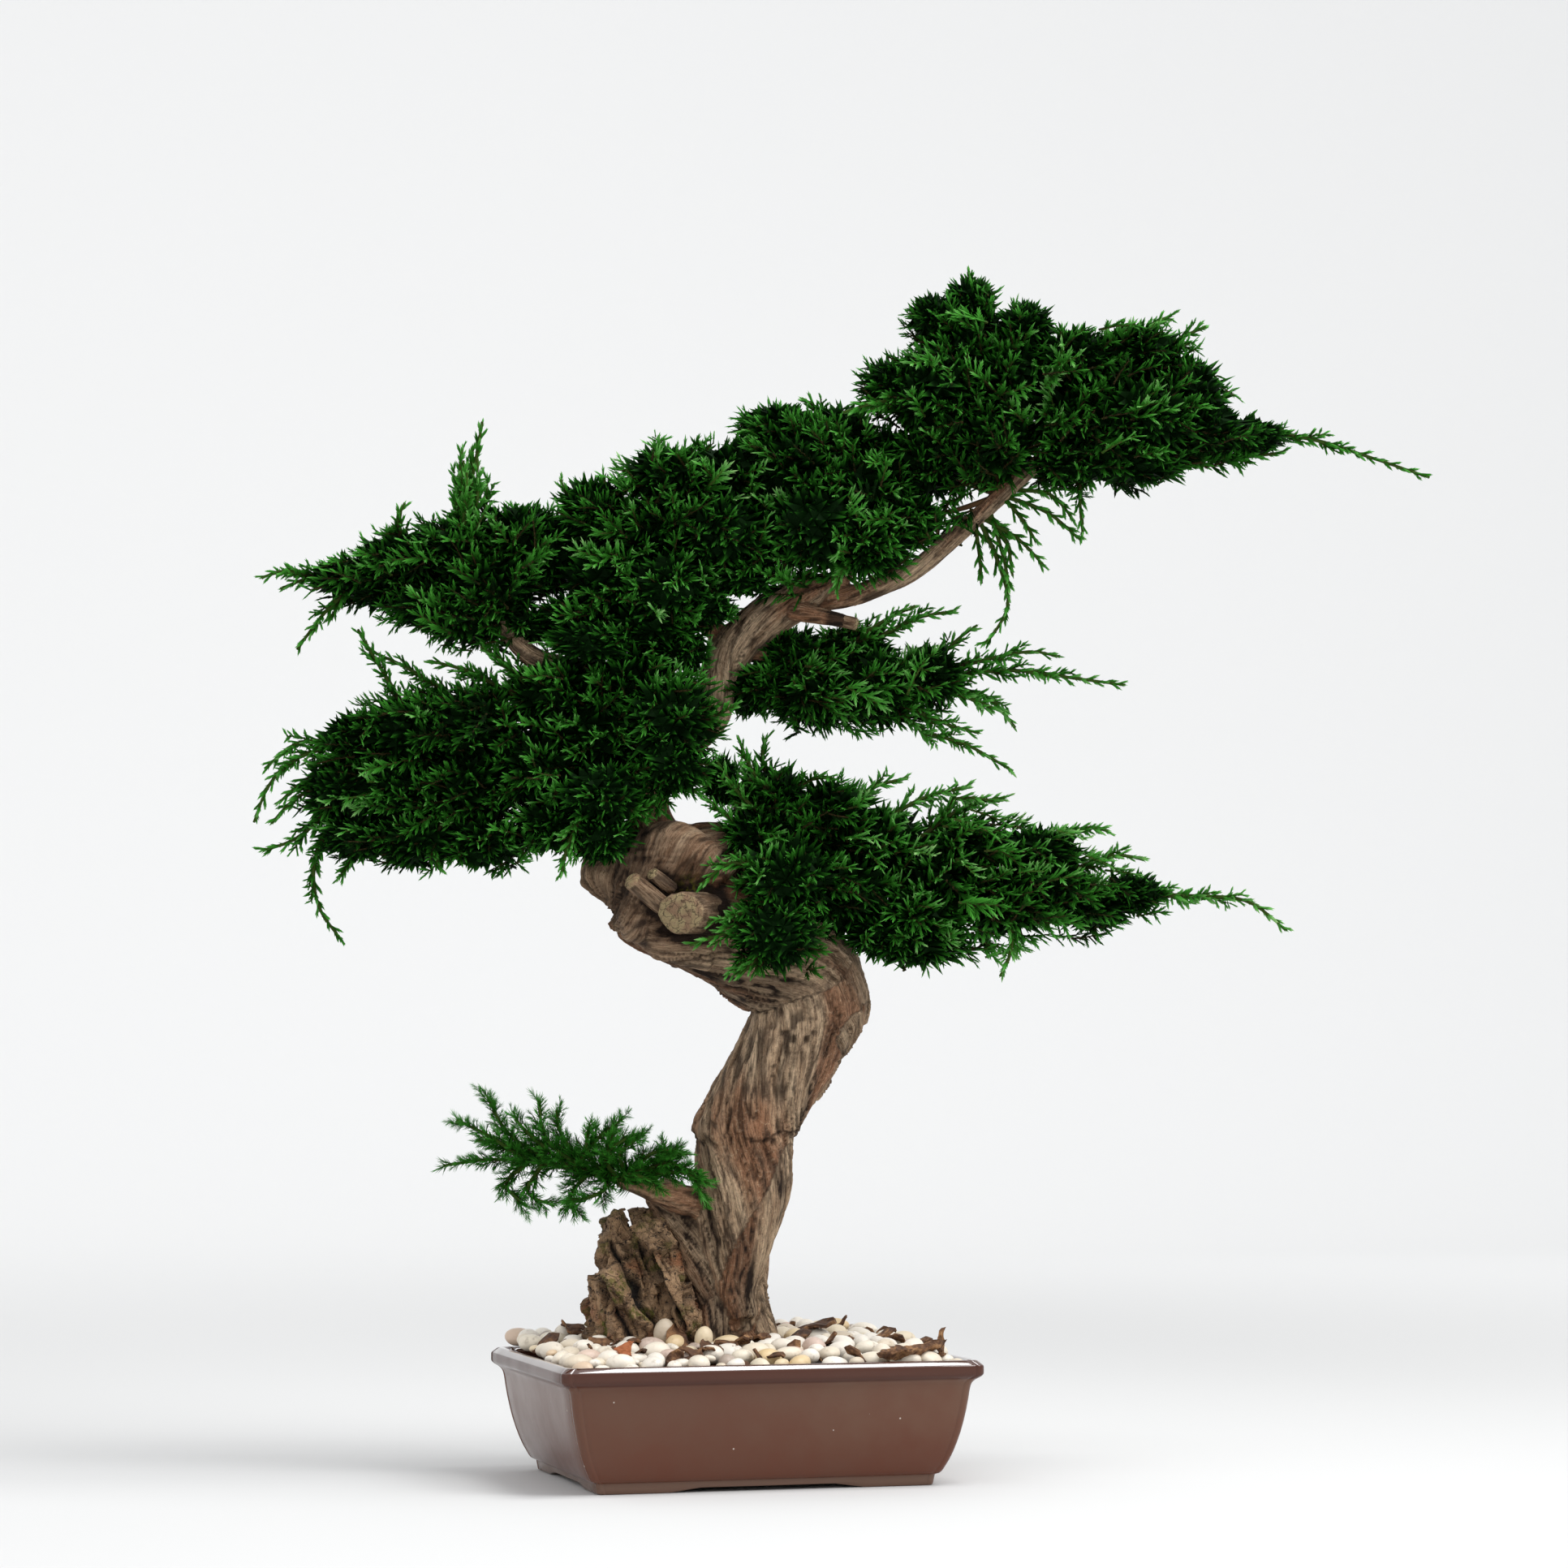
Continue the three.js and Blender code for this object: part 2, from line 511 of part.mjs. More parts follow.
/** The trunk with its roots, burl, cut stubs and boughs, or the hole that it stands in. */
function makeTrunk(grow = 0) {
  const swell = (angle, run) => 1 + RIDGE_SHARE * Math.cos(RIDGE_COUNT * angle + RIDGE_TWIST * run * 2);
  const stout = { sides: TRUNK_SIDES, grow, swell };
  const plain = { sides: LIMB_SIDES, grow, steps: 1 };
  return join([
    tube(TRUNK.lower, { ...stout, steps: 1 }),
    tube(TRUNK.sweep, { ...stout, steps: 2 }),
    tube(TRUNK.burl, { ...stout, steps: 1 }),
    tube(TRUNK.limb, plain),
    ...[TRUNK.leftStub, TRUNK.cutKnot, TRUNK.logStub, TRUNK.rightRoot, TRUNK.frontRoot].map(
      (rows) => tube(rows, plain),
    ),
    ...BOUGHS.map((rows) => tube(rows, { sides: BOUGH_SIDES, grow, steps: 1 })),
  ]);
}

// ---------------------------------------------------------------------------------------------
// Foliage
// ---------------------------------------------------------------------------------------------

/**
 * A leader: a three-edged stem along its way, with a pointed shoot standing from each of its three
 * sides at every joint, and a point at its end.
 */
function leaderSolid(way, grow = 0) {
  const curve = new THREE.CatmullRomCurve3(way.map((point) => vec(...point)), false, 'centripetal');
  const joints = Math.max(2, Math.round(curve.getLength() / LEADER.joint));
  const spacing = 1 / (joints + 0.8);
  const across = vec(0, 0, 1).cross(curve.getTangent(0));
  if (across.lengthSq() < 0.01) across.set(1, 0, 0);
  const stem = [];
  const shoots = [];
  for (const k of count(joints + 1)) {
    const middle = curve.getPoint(k * spacing);
    const along = curve.getTangent(k * spacing);
    across.addScaledVector(along, -across.dot(along)).normalize();
    const up = along.clone().cross(across);
    const outward = (turn) => across.clone().multiplyScalar(Math.cos(turn))
      .addScaledVector(up, Math.sin(turn));
    const thick = LEADER.stem * (1 - (0.45 * k) / joints) + grow;
    const reach = LEADER.shoot * (1 - 0.4 * Math.abs((2 * k) / joints - 0.7)) + 2 * grow;
    for (const i of count(3)) {
      const turn = 0.8 + (2 / 3) * Math.PI * i;
      stem.push(middle.clone().addScaledVector(outward(turn), thick));
      const root = middle.clone().lerp(curve.getPoint(Math.min(1, (k + 1) * spacing)), 0.5);
      shoots.push(root.addScaledVector(outward(turn + Math.PI / 3).add(along), reach * Math.SQRT1_2));
    }
  }
  const faces = [[0, 2, 1]];
  for (const k of count(joints)) {
    for (const i of count(3)) {
      const [a, b] = [3 * k + i, 3 * k + ((i + 1) % 3)];
      const corners = [a, b, b + 3, a + 3];
      corners.forEach((corner, c) => faces.push([corner, corners[(c + 1) % 4], stem.length + a]));
    }
  }
  const [end, tip] = [3 * joints, stem.length + 3 * joints];
  for (const i of count(3)) faces.push([end + i, end + ((i + 1) % 3), tip]);
  const point = curve.getPoint(1).addScaledVector(curve.getTangent(1), grow);
  return solidOf(facesGeometry([...stem, ...shoots.slice(0, 3 * joints), point], faces));
}

/** How far a ray from a point runs to the outermost of the clumps' surfaces. */
function reachOf(clumps, from, way) {
  const runs = clumps.map(([x, y, z, ...half]) => {
    const [step, offset] = [way.toArray(), [from.x - x, from.y - y, from.z - z]].map(
      (parts) => parts.map((part, axis) => part / half[axis]),
    );
    const [a, b, c] = [[step, step], [step, offset], [offset, offset]].map(
      ([p, q]) => p[0] * q[0] + p[1] * q[1] + p[2] * q[2],
    );
    const root = b * b - a * (c - 1);
    return root < 0 ? 0 : (Math.sqrt(root) - b) / a;
  });
  return Math.max(HEART.least, ...runs);
}

/**
 * The dense heart of a mass: a skin inside its clumps' outer surface, each of whose open faces is
 * raised to the point of a shoot. A face that another mass covers stays flat.
 */
function massHeart({ root, clumps }, others, grow) {
  const box = new THREE.Box3();
  for (const [x, y, z, ...half] of clumps) {
    box.expandByPoint(vec(x, y, z).sub(vec(...half))).expandByPoint(vec(x, y, z).add(vec(...half)));
  }
  const [middle, spread] = [box.getCenter(vec()), box.getSize(vec())];
  const random = draws(Math.round(Math.abs(middle.x) * 31 + middle.z));
  const ball = mergeVertices(
    new THREE.IcosahedronGeometry(1, HEART.detail).deleteAttribute('normal').deleteAttribute('uv'),
    1e-3,
  );
  const ways = count(ball.attributes.position.count).map(
    (i) => new THREE.Vector3().fromBufferAttribute(ball.attributes.position, i).multiply(spread).normalize(),
  );
  const at = (way, share, more) => way.clone()
    .multiplyScalar(share * reachOf(clumps, middle, way) + more).add(middle);
  const points = ways.map((way) => at(way, HEART.core - HEART.rough * random(), grow));
  const faces = [];
  for (const f of count(ball.index.count / 3)) {
    const face = [0, 1, 2].map((i) => ball.index.array[3 * f + i]);
    const aim = face.reduce((sum, i) => sum.addScaledVector(ways[i], 0.3 + random()), vec(0, 0, 0));
    aim.normalize();
    const share = lerp(...HEART.shoots, random());
    if (others.some((other) => depthIn(other, at(aim, share, 0)) < 1)) {
      faces.push(face);
    } else {
      points.push(at(aim, share, grow));
      for (const i of count(3)) faces.push([face[i], face[(i + 1) % 3], points.length - 1]);
    }
  }
  const stem = tube([[...root, STEM], [...middle, STEM]], { sides: 5, steps: 1, grow });
  return solidOf(facesGeometry(points, faces)).add(stem);
}

/** How far a point lies from a clump's middle, 1 being its surface. */
function depthIn([x, y, z, halfX, halfY, halfZ], point) {
  return Math.hypot((point.x - x) / halfX, (point.y - y) / halfY, (point.z - z) / halfZ);
}

/** Every mass of foliage, clear of the trunk and of the masses before it. */
function makeFoliage(trunkHole, neighbours) {
  const masses = Object.entries(FOLIAGE);
  const finished = [trunkHole, ...neighbours];
  return masses.map(([name, mass]) => {
    const others = masses.flatMap(([, other]) => (other === mass ? [] : other.clumps));
    const grown = (grow) => join([
      ...(mass.root ? [massHeart(mass, others, grow)] : []),
      ...mass.leaders.map((way) => leaderSolid(way, grow)),
    ]);
    const clear = finished.reduce((rest, other) => rest.subtract(other), grown(0));
    finished.push(grown(2 * CLEARANCE));
    return [name, mainBody(clear)];
  });
}

// ---------------------------------------------------------------------------------------------
// Assembly
// ---------------------------------------------------------------------------------------------

function piece(name, solid, finish) {
  const mesh = new THREE.Mesh(geometryOf(solid), new THREE.MeshStandardMaterial(FINISHES[finish]));
  mesh.name = name;
  return mesh;
}

/** A solid of the tree's frame in the pot's frame. */
const inPotFrame = (solid) => solid.rotate([0, 0, THREE.MathUtils.radToDeg(TREE_TURN)]);

const trunk = makeTrunk();
const trunkHole = makeTrunk(CLEARANCE);
const slab = makeRock(ROCK_SLAB, 21).subtract(trunkHole);
const slabHole = makeRock(ROCK_SLAB, 21, CLEARANCE);
const lump = makeRock(ROCK_LUMP, 34).subtract(trunkHole).subtract(slabHole);
const lumpHole = makeRock(ROCK_LUMP, 34, CLEARANCE);
const dryPieces = Object.entries(DRY_PIECES);
const dryHoles = dryPieces.map(([, size]) => makeDryPiece(size, CLEARANCE));

const tree = new THREE.Group();
tree.rotation.z = TREE_TURN;
tree.add(piece('trunk', trunk, 'bark'));
tree.add(piece('rock_slab', mainBody(slab), 'rock'));
tree.add(piece('rock_lump', mainBody(lump), 'rock'));
for (const [name, solid] of makeFoliage(trunkHole, [slabHole, lumpHole])) {
  tree.add(piece(name, solid, 'foliage'));
}

const holes = [...[trunkHole, slabHole, lumpHole].map(inPotFrame), ...dryHoles];
const potted = new THREE.Group();
potted.add(tree);
potted.add(piece('pot', makePot(), 'glaze'));
potted.add(piece('soil', makeSoil(inPotFrame(trunkHole)), 'soil'));
potted.add(piece('pebbles', makePebbles(holes), 'pebble'));
for (const [name, size] of dryPieces) potted.add(piece(name, makeDryPiece(size), 'dryBark'));

// The origin is under the middle of the whole, on the surface that it stands on.
const box = new THREE.Box3().setFromObject(potted, true);
const middle = box.getCenter(vec(0, 0, 0));
potted.position.set(-middle.x, -middle.y, -box.min.z);

const bonsai = new THREE.Group();
bonsai.add(potted);

export default bonsai;
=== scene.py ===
"""A juniper bonsai in a rectangular glazed pot, dressed with pebbles, rock and dry bark.

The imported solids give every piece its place. Lengths in the classes are millimetres, as a grower or a
potter would give them. The tree is laid out in a frame of its own about the pot's upright axis, in
which +X runs along the tree's widest side and +Y goes away from its front.
"""

import itertools
import logging
import math
from collections.abc import Callable
from dataclasses import dataclass, field
from enum import Enum

import bmesh
import bpy
import numpy as np
from mathutils import Matrix, Vector


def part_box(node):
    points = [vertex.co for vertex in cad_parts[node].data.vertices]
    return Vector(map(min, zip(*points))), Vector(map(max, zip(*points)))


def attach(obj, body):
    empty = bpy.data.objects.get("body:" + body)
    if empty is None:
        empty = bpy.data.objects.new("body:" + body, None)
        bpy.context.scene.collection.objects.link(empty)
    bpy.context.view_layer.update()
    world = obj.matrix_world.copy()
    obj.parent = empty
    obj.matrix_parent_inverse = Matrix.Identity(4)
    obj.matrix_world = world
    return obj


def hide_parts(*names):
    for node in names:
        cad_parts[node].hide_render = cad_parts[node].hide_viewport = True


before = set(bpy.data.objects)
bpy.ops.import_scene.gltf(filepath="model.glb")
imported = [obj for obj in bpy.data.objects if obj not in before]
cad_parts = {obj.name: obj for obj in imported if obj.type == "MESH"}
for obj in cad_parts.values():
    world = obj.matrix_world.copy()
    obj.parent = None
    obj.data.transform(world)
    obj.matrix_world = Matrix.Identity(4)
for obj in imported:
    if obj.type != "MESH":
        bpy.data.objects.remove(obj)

log = logging.getLogger("bonsai")

MM = 0.001
TREE_TURN = math.radians(-16.3)
GOLDEN_ANGLE = math.pi * (3 - math.sqrt(5))

Array = np.ndarray
Draw = np.random.Generator
Object = bpy.types.Object
Row = tuple[float, ...]
Rows = tuple[Row, ...]


# ----------------------------------------
# Shapes
# ----------------------------------------

@dataclass
class Shape:
    """Points and triangles, and a number for each point under each attribute's name."""

    points: Array
    faces: Array
    values: dict[str, Array] = field(default_factory=dict)

    @staticmethod
    def join(shapes: list["Shape"]) -> "Shape":
        """Several shapes as one; each lists the same attributes.

        Args:
            shapes: The shapes, in any order.

        Returns:
            One shape that holds them all.
        """
        starts = np.cumsum([0] + [len(shape.points) for shape in shapes[:-1]])
        return Shape(
            np.concatenate([shape.points for shape in shapes]),
            np.concatenate([shape.faces + start for shape, start in zip(shapes, starts)]),
            {name: np.concatenate([shape.values[name] for shape in shapes]) for name in shapes[0].values},
        )

    def copies(self, turns: Array, places: Array, **added: Array) -> "Shape":
        """Copies of the shape, turned and placed.

        Args:
            turns: A 3 x 3 matrix for each copy, with its scale.
            places: A point for each copy.
            added: For an attribute's name, a number for each copy that is added to its points' own.

        Returns:
            One shape that holds every copy.
        """
        count = len(places)
        points = np.einsum("nij,pj->npi", turns, self.points) + places[:, None]
        faces = self.faces[None] + (np.arange(count) * len(self.points))[:, None, None]
        values = {
            name: (own[None] + (added[name][:, None] if name in added else 0) * np.ones((count, 1))).ravel()
            for name, own in self.values.items()
        }
        return Shape(points.reshape(-1, 3), faces.reshape(-1, 3), values)

    def to_object(self, name: str, smooth: bool = False) -> Object:
        """The shape as an object in the scene, with its attributes.

        Args:
            name: The object's name.
            smooth: Whether its faces are shaded smooth.

        Returns:
            The new object, at the origin.
        """
        mesh = bpy.data.meshes.new(name)
        mesh.vertices.add(len(self.points))
        mesh.vertices.foreach_set("co", self.points.astype(np.float32).ravel())
        mesh.loops.add(3 * len(self.faces))
        mesh.loops.foreach_set("vertex_index", self.faces.astype(np.int32).ravel())
        mesh.polygons.add(len(self.faces))
        mesh.polygons.foreach_set("loop_start", np.arange(0, 3 * len(self.faces), 3, dtype=np.int32))
        mesh.polygons.foreach_set("use_smooth", np.full(len(self.faces), smooth))
        for attribute, numbers in self.values.items():
            store(mesh, attribute, numbers)
        mesh.update(calc_edges=True)
        mesh.validate()
        obj = bpy.data.objects.new(name, mesh)
        bpy.context.scene.collection.objects.link(obj)
        return obj


def store(mesh: bpy.types.Mesh, name: str, numbers: Array) -> None:
    """Keeps a number or a vector for each point of a mesh.

    Args:
        mesh: The mesh.
        name: The attribute's name.
        numbers: A number or a row of three for each point.
    """
    kind, key = ("FLOAT", "value") if numbers.ndim == 1 else ("FLOAT_VECTOR", "vector")
    attribute = mesh.attributes.new(name, kind, "POINT")
    attribute.data.foreach_set(key, numbers.astype(np.float32).ravel())


def read_rows(items: bpy.types.bpy_prop_collection, key: str) -> Array:
    """A vector of each item of a mesh, such as its points' places.

    Args:
        items: The items.
        key: The vector's name.

    Returns:
        A row of three for each item.
    """
    numbers = np.empty(3 * len(items), np.float32)
    items.foreach_get(key, numbers)
    return numbers.reshape(-1, 3).astype(float)


def points_of(obj: Object) -> Array:
    """The points of an object's mesh."""
    return read_rows(obj.data.vertices, "co")


def normals_of(obj: Object) -> Array:
    """The normals at the points of an object's mesh."""
    return read_rows(obj.data.vertex_normals, "vector")


def move_points(obj: Object, points: Array) -> None:
    """Moves the points of an object's mesh."""
    obj.data.vertices.foreach_set("co", points.astype(np.float32).ravel())
    obj.data.update()


def raise_points(obj: Object, lift: Array) -> None:
    """Moves each point of an object along its normal, by millimetres."""
    move_points(obj, points_of(obj) + normals_of(obj) * (lift * MM)[:, None])


def shape_of(obj: Object) -> Shape:
    """An object's mesh as a shape of triangles.

    Args:
        obj: The object, which is used up.

    Returns:
        The shape.
    """
    mesh = bmesh.new()
    mesh.from_mesh(obj.data)
    bmesh.ops.triangulate(mesh, faces=mesh.faces)
    points = np.array([vertex.co for vertex in mesh.verts])
    faces = np.array([[vertex.index for vertex in face.verts] for face in mesh.faces])
    mesh.free()
    bpy.data.objects.remove(obj)
    return Shape(points, faces)


def unit(vectors: Array) -> Array:
    """Vectors at length 1."""
    return vectors / np.maximum(np.linalg.norm(vectors, axis=-1, keepdims=True), 1e-9)


def frames(along: Array, up: Array) -> Array:
    """Turns that carry +Y to a direction, and +Z as near as can be to another.

    Args:
        along: A direction for each turn.
        up: A second direction for each turn.

    Returns:
        A 3 x 3 matrix for each.
    """
    forward = unit(along)
    across = unit(np.cross(forward, up))
    return np.stack([across, forward, np.cross(across, forward)], axis=-1)


def noise(points: Array, seed: int = 0) -> Array:
    """Smooth noise from 0 to 1 that changes over about one unit.

    Args:
        points: Where it is read.
        seed: Picks one pattern out of many.

    Returns:
        A number for each point.
    """
    cell = np.floor(points).astype(np.int64)
    part = points - cell
    part = part * part * (3 - 2 * part)
    total = np.zeros(len(points))
    for corner in itertools.product((0, 1), repeat=3):
        x, y, z = (cell + corner).T
        mixed = (x * 374761393 + y * 668265263 + z * 1440662683 + seed * 1274126177) & 0xFFFFFFFF
        mixed = ((mixed ^ (mixed >> 13)) * 1274126177) & 0xFFFFFFFF
        value = ((mixed ^ (mixed >> 16)) & 0xFFFF) / 0xFFFF
        total += value * np.prod(np.where(corner, part, 1 - part), axis=1)
    return total


def shake(points: Array, seed: int = 0, apart: float = 0) -> Array:
    """Three noises at each point, from -0.5 to 0.5, read so far apart."""
    return np.column_stack([noise(points + apart * k, seed + k) for k in range(3)]) - 0.5


def ridges(points: Array, seed: int = 0) -> Array:
    """Noise whose middle values stand up as sharp ridges, from 0 to 1."""
    return 1 - np.abs(2 * noise(points, seed) - 1)


def smoothstep(low: float, high: float, values: Array) -> Array:
    """0 below a range, 1 above it, and a smooth rise between."""
    share = np.clip((values - low) / (high - low), 0, 1)
    return share * share * (3 - 2 * share)


def nearness(points: Array, middle: Row, reach: float, power: float = 2) -> Array:
    """1 at a middle, falling to nothing a little beyond its reach."""
    return np.exp(-(np.linalg.norm(points - np.array(middle), axis=1) / reach) ** power)


def smooth_way(rows: Rows, step: float) -> Array:
    """Rows of numbers along a smooth way through the given ones.

    Args:
        rows: Rows of x, y, z and any further numbers, in millimetres.
        step: The greatest distance between two of the new rows.

    Returns:
        The new rows, from the first given row to the last.
    """
    given = np.array(rows, float)
    padded = np.vstack([2 * given[0] - given[1], given, 2 * given[-1] - given[-2]])
    made = []
    for before, start, end, after in zip(padded, padded[1:], padded[2:], padded[3:]):
        count = max(1, math.ceil(np.linalg.norm(end[:3] - start[:3]) / step))
        t = (np.arange(count) / count)[:, None]
        made.append(0.5 * (2 * start + (end - before) * t + (2 * before - 5 * start + 4 * end - after) * t**2
                           + (3 * start - before - 3 * end + after) * t**3))
    return np.vstack([*made, given[-1:]])


def run_along(points: Array) -> Array:
    """How far along a way each of its points lies."""
    return np.concatenate([[0], np.cumsum(np.linalg.norm(np.diff(points, axis=0), axis=1))])


def sides_along(along: Array, first: Row) -> Array:
    """A direction across a way at each of its rows, which turns as little as can be.

    Args:
        along: The way's own direction at each row.
        first: What the first one is made from.

    Returns:
        The directions across.
    """
    side, sides = np.array(first), []
    for direction in along:
        side = unit(side - side.dot(direction) * direction)
        sides.append(side)
    return np.array(sides)


def tube(way: Array, sides: int) -> Shape:
    """A closed tube along a way.

    Args:
        way: Rows of x, y, z and radius.
        sides: How many sides its section has.

    Returns:
        The tube, with closing fans at its ends.
    """
    middles, radii = way[:, :3], way[:, 3]
    along = unit(np.gradient(middles, axis=0))
    across = sides_along(along, (0.31, 0.2, 0.93))
    angles = (np.arange(sides) / sides * 2 * math.pi)[:, None]
    rings = np.cos(angles) * across[:, None] + np.sin(angles) * np.cross(along, across)[:, None]
    rings = middles[:, None] + radii[:, None, None] * rings
    points = np.vstack([rings.reshape(-1, 3), middles[:1], middles[-1:]])
    count, around = len(middles), np.arange(sides)
    beyond = (around + 1) % sides
    faces = [np.array([[sides * count, b, a] for a, b in zip(around, beyond)])]
    for k in range(count - 1):
        a, b = k * sides + around, k * sides + beyond
        faces += [np.stack([a, b, b + sides], 1), np.stack([a, b + sides, a + sides], 1)]
    last = (count - 1) * sides
    faces.append(np.array([[last + a, last + b, sides * count + 1] for a, b in zip(around, beyond)]))
    return Shape(points, np.vstack(faces))


# ----------------------------------------
# Places and objects
# ----------------------------------------

POT_LOW, POT_HIGH = map(np.array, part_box("pot"))
POT_MIDDLE = np.array([*(POT_LOW + POT_HIGH)[:2] / 2, POT_LOW[2]])  # under it, on the ground
TREE_AXES = np.array(Matrix.Rotation(TREE_TURN, 3, "Z"))


def from_pot(points: Array) -> Array:
    """Points about the pot's middle, in millimetres, as places in the scene."""
    return np.asarray(points, float) * MM + POT_MIDDLE


def from_tree(points: Array) -> Array:
    """Points of the tree's own frame, in millimetres, as places in the scene."""
    return from_pot(np.asarray(points, float) @ TREE_AXES.T)


def to_tree(points: Array) -> Array:
    """Places in the scene as points of the tree's own frame, in millimetres."""
    return (points - POT_MIDDLE) / MM @ TREE_AXES


def only(obj: Object) -> None:
    """Selects one object alone and makes it active.

    Args:
        obj: The object.
    """
    bpy.ops.object.select_all(action="DESELECT")
    obj.select_set(True)
    bpy.context.view_layer.objects.active = obj


def start_from(primitive: Callable[..., set[str]], name: str, **settings: object) -> Object:
    """Adds a primitive to start a piece from, with nothing else selected.

    Args:
        primitive: The operator that adds it.
        name: The piece's name.
        settings: The operator's properties.

    Returns:
        The new object.
    """
    bpy.ops.object.select_all(action="DESELECT")
    primitive(**settings)
    obj = bpy.context.active_object
    obj.name = obj.data.name = name
    return obj


def apply_modifier(obj: Object, kind: str, **settings: object) -> None:
    """Adds a modifier to an object and applies it.

    Args:
        obj: The object.
        kind: The modifier's kind.
        settings: Its properties.
    """
    only(obj)
    modifier = obj.modifiers.new(kind, kind)
    for name, value in settings.items():
        setattr(modifier, name, value)
    bpy.ops.object.modifier_apply(modifier=modifier.name)


def fuse(obj: Object, voxel: float, smoothing: int) -> None:
    """Melts an object's crossing shells into one even skin and smooths it."""
    apply_modifier(obj, "REMESH", mode="VOXEL", voxel_size=voxel * MM)
    apply_modifier(obj, "SMOOTH", factor=0.5, iterations=smoothing)


def shade(obj: Object, sharp: float | None = None) -> None:
    """Shades an object smooth.

    Args:
        obj: The object.
        sharp: The angle in degrees from which an edge stays sharp, or none.
    """
    only(obj)
    if sharp is None:
        bpy.ops.object.shade_smooth()
    else:
        bpy.ops.object.shade_smooth_by_angle(angle=math.radians(sharp))


def copy_of(node: str, name: str) -> Object:
    """A copy of a solid, with its loose triangles merged.

    Args:
        node: The solid.
        name: The copy's name.

    Returns:
        The copy.
    """
    copy = bpy.data.objects.new(name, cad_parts[node].data.copy())
    bpy.context.scene.collection.objects.link(copy)
    copy.data.materials.clear()
    only(copy)
    bpy.ops.object.mode_set(mode="EDIT")
    bpy.ops.mesh.select_all(action="SELECT")
    bpy.ops.mesh.remove_doubles(threshold=1e-6)
    bpy.ops.object.mode_set(mode="OBJECT")
    return copy


# ----------------------------------------
# Finishes
# ----------------------------------------

Colour = tuple[float, float, float]
Stops = tuple[tuple[float, Colour], ...]
Span = tuple[float, float]
Socket = bpy.types.NodeSocket
Input = Socket | float | tuple[float, ...]


def linear(red: int, green: int, blue: int) -> Colour:
    """A colour given as it looks on a screen, 0 to 255, as light."""
    return tuple(
        part / 12.92 if part <= 0.04045 else ((part + 0.055) / 1.055) ** 2.4
        for part in (red / 255, green / 255, blue / 255)
    )


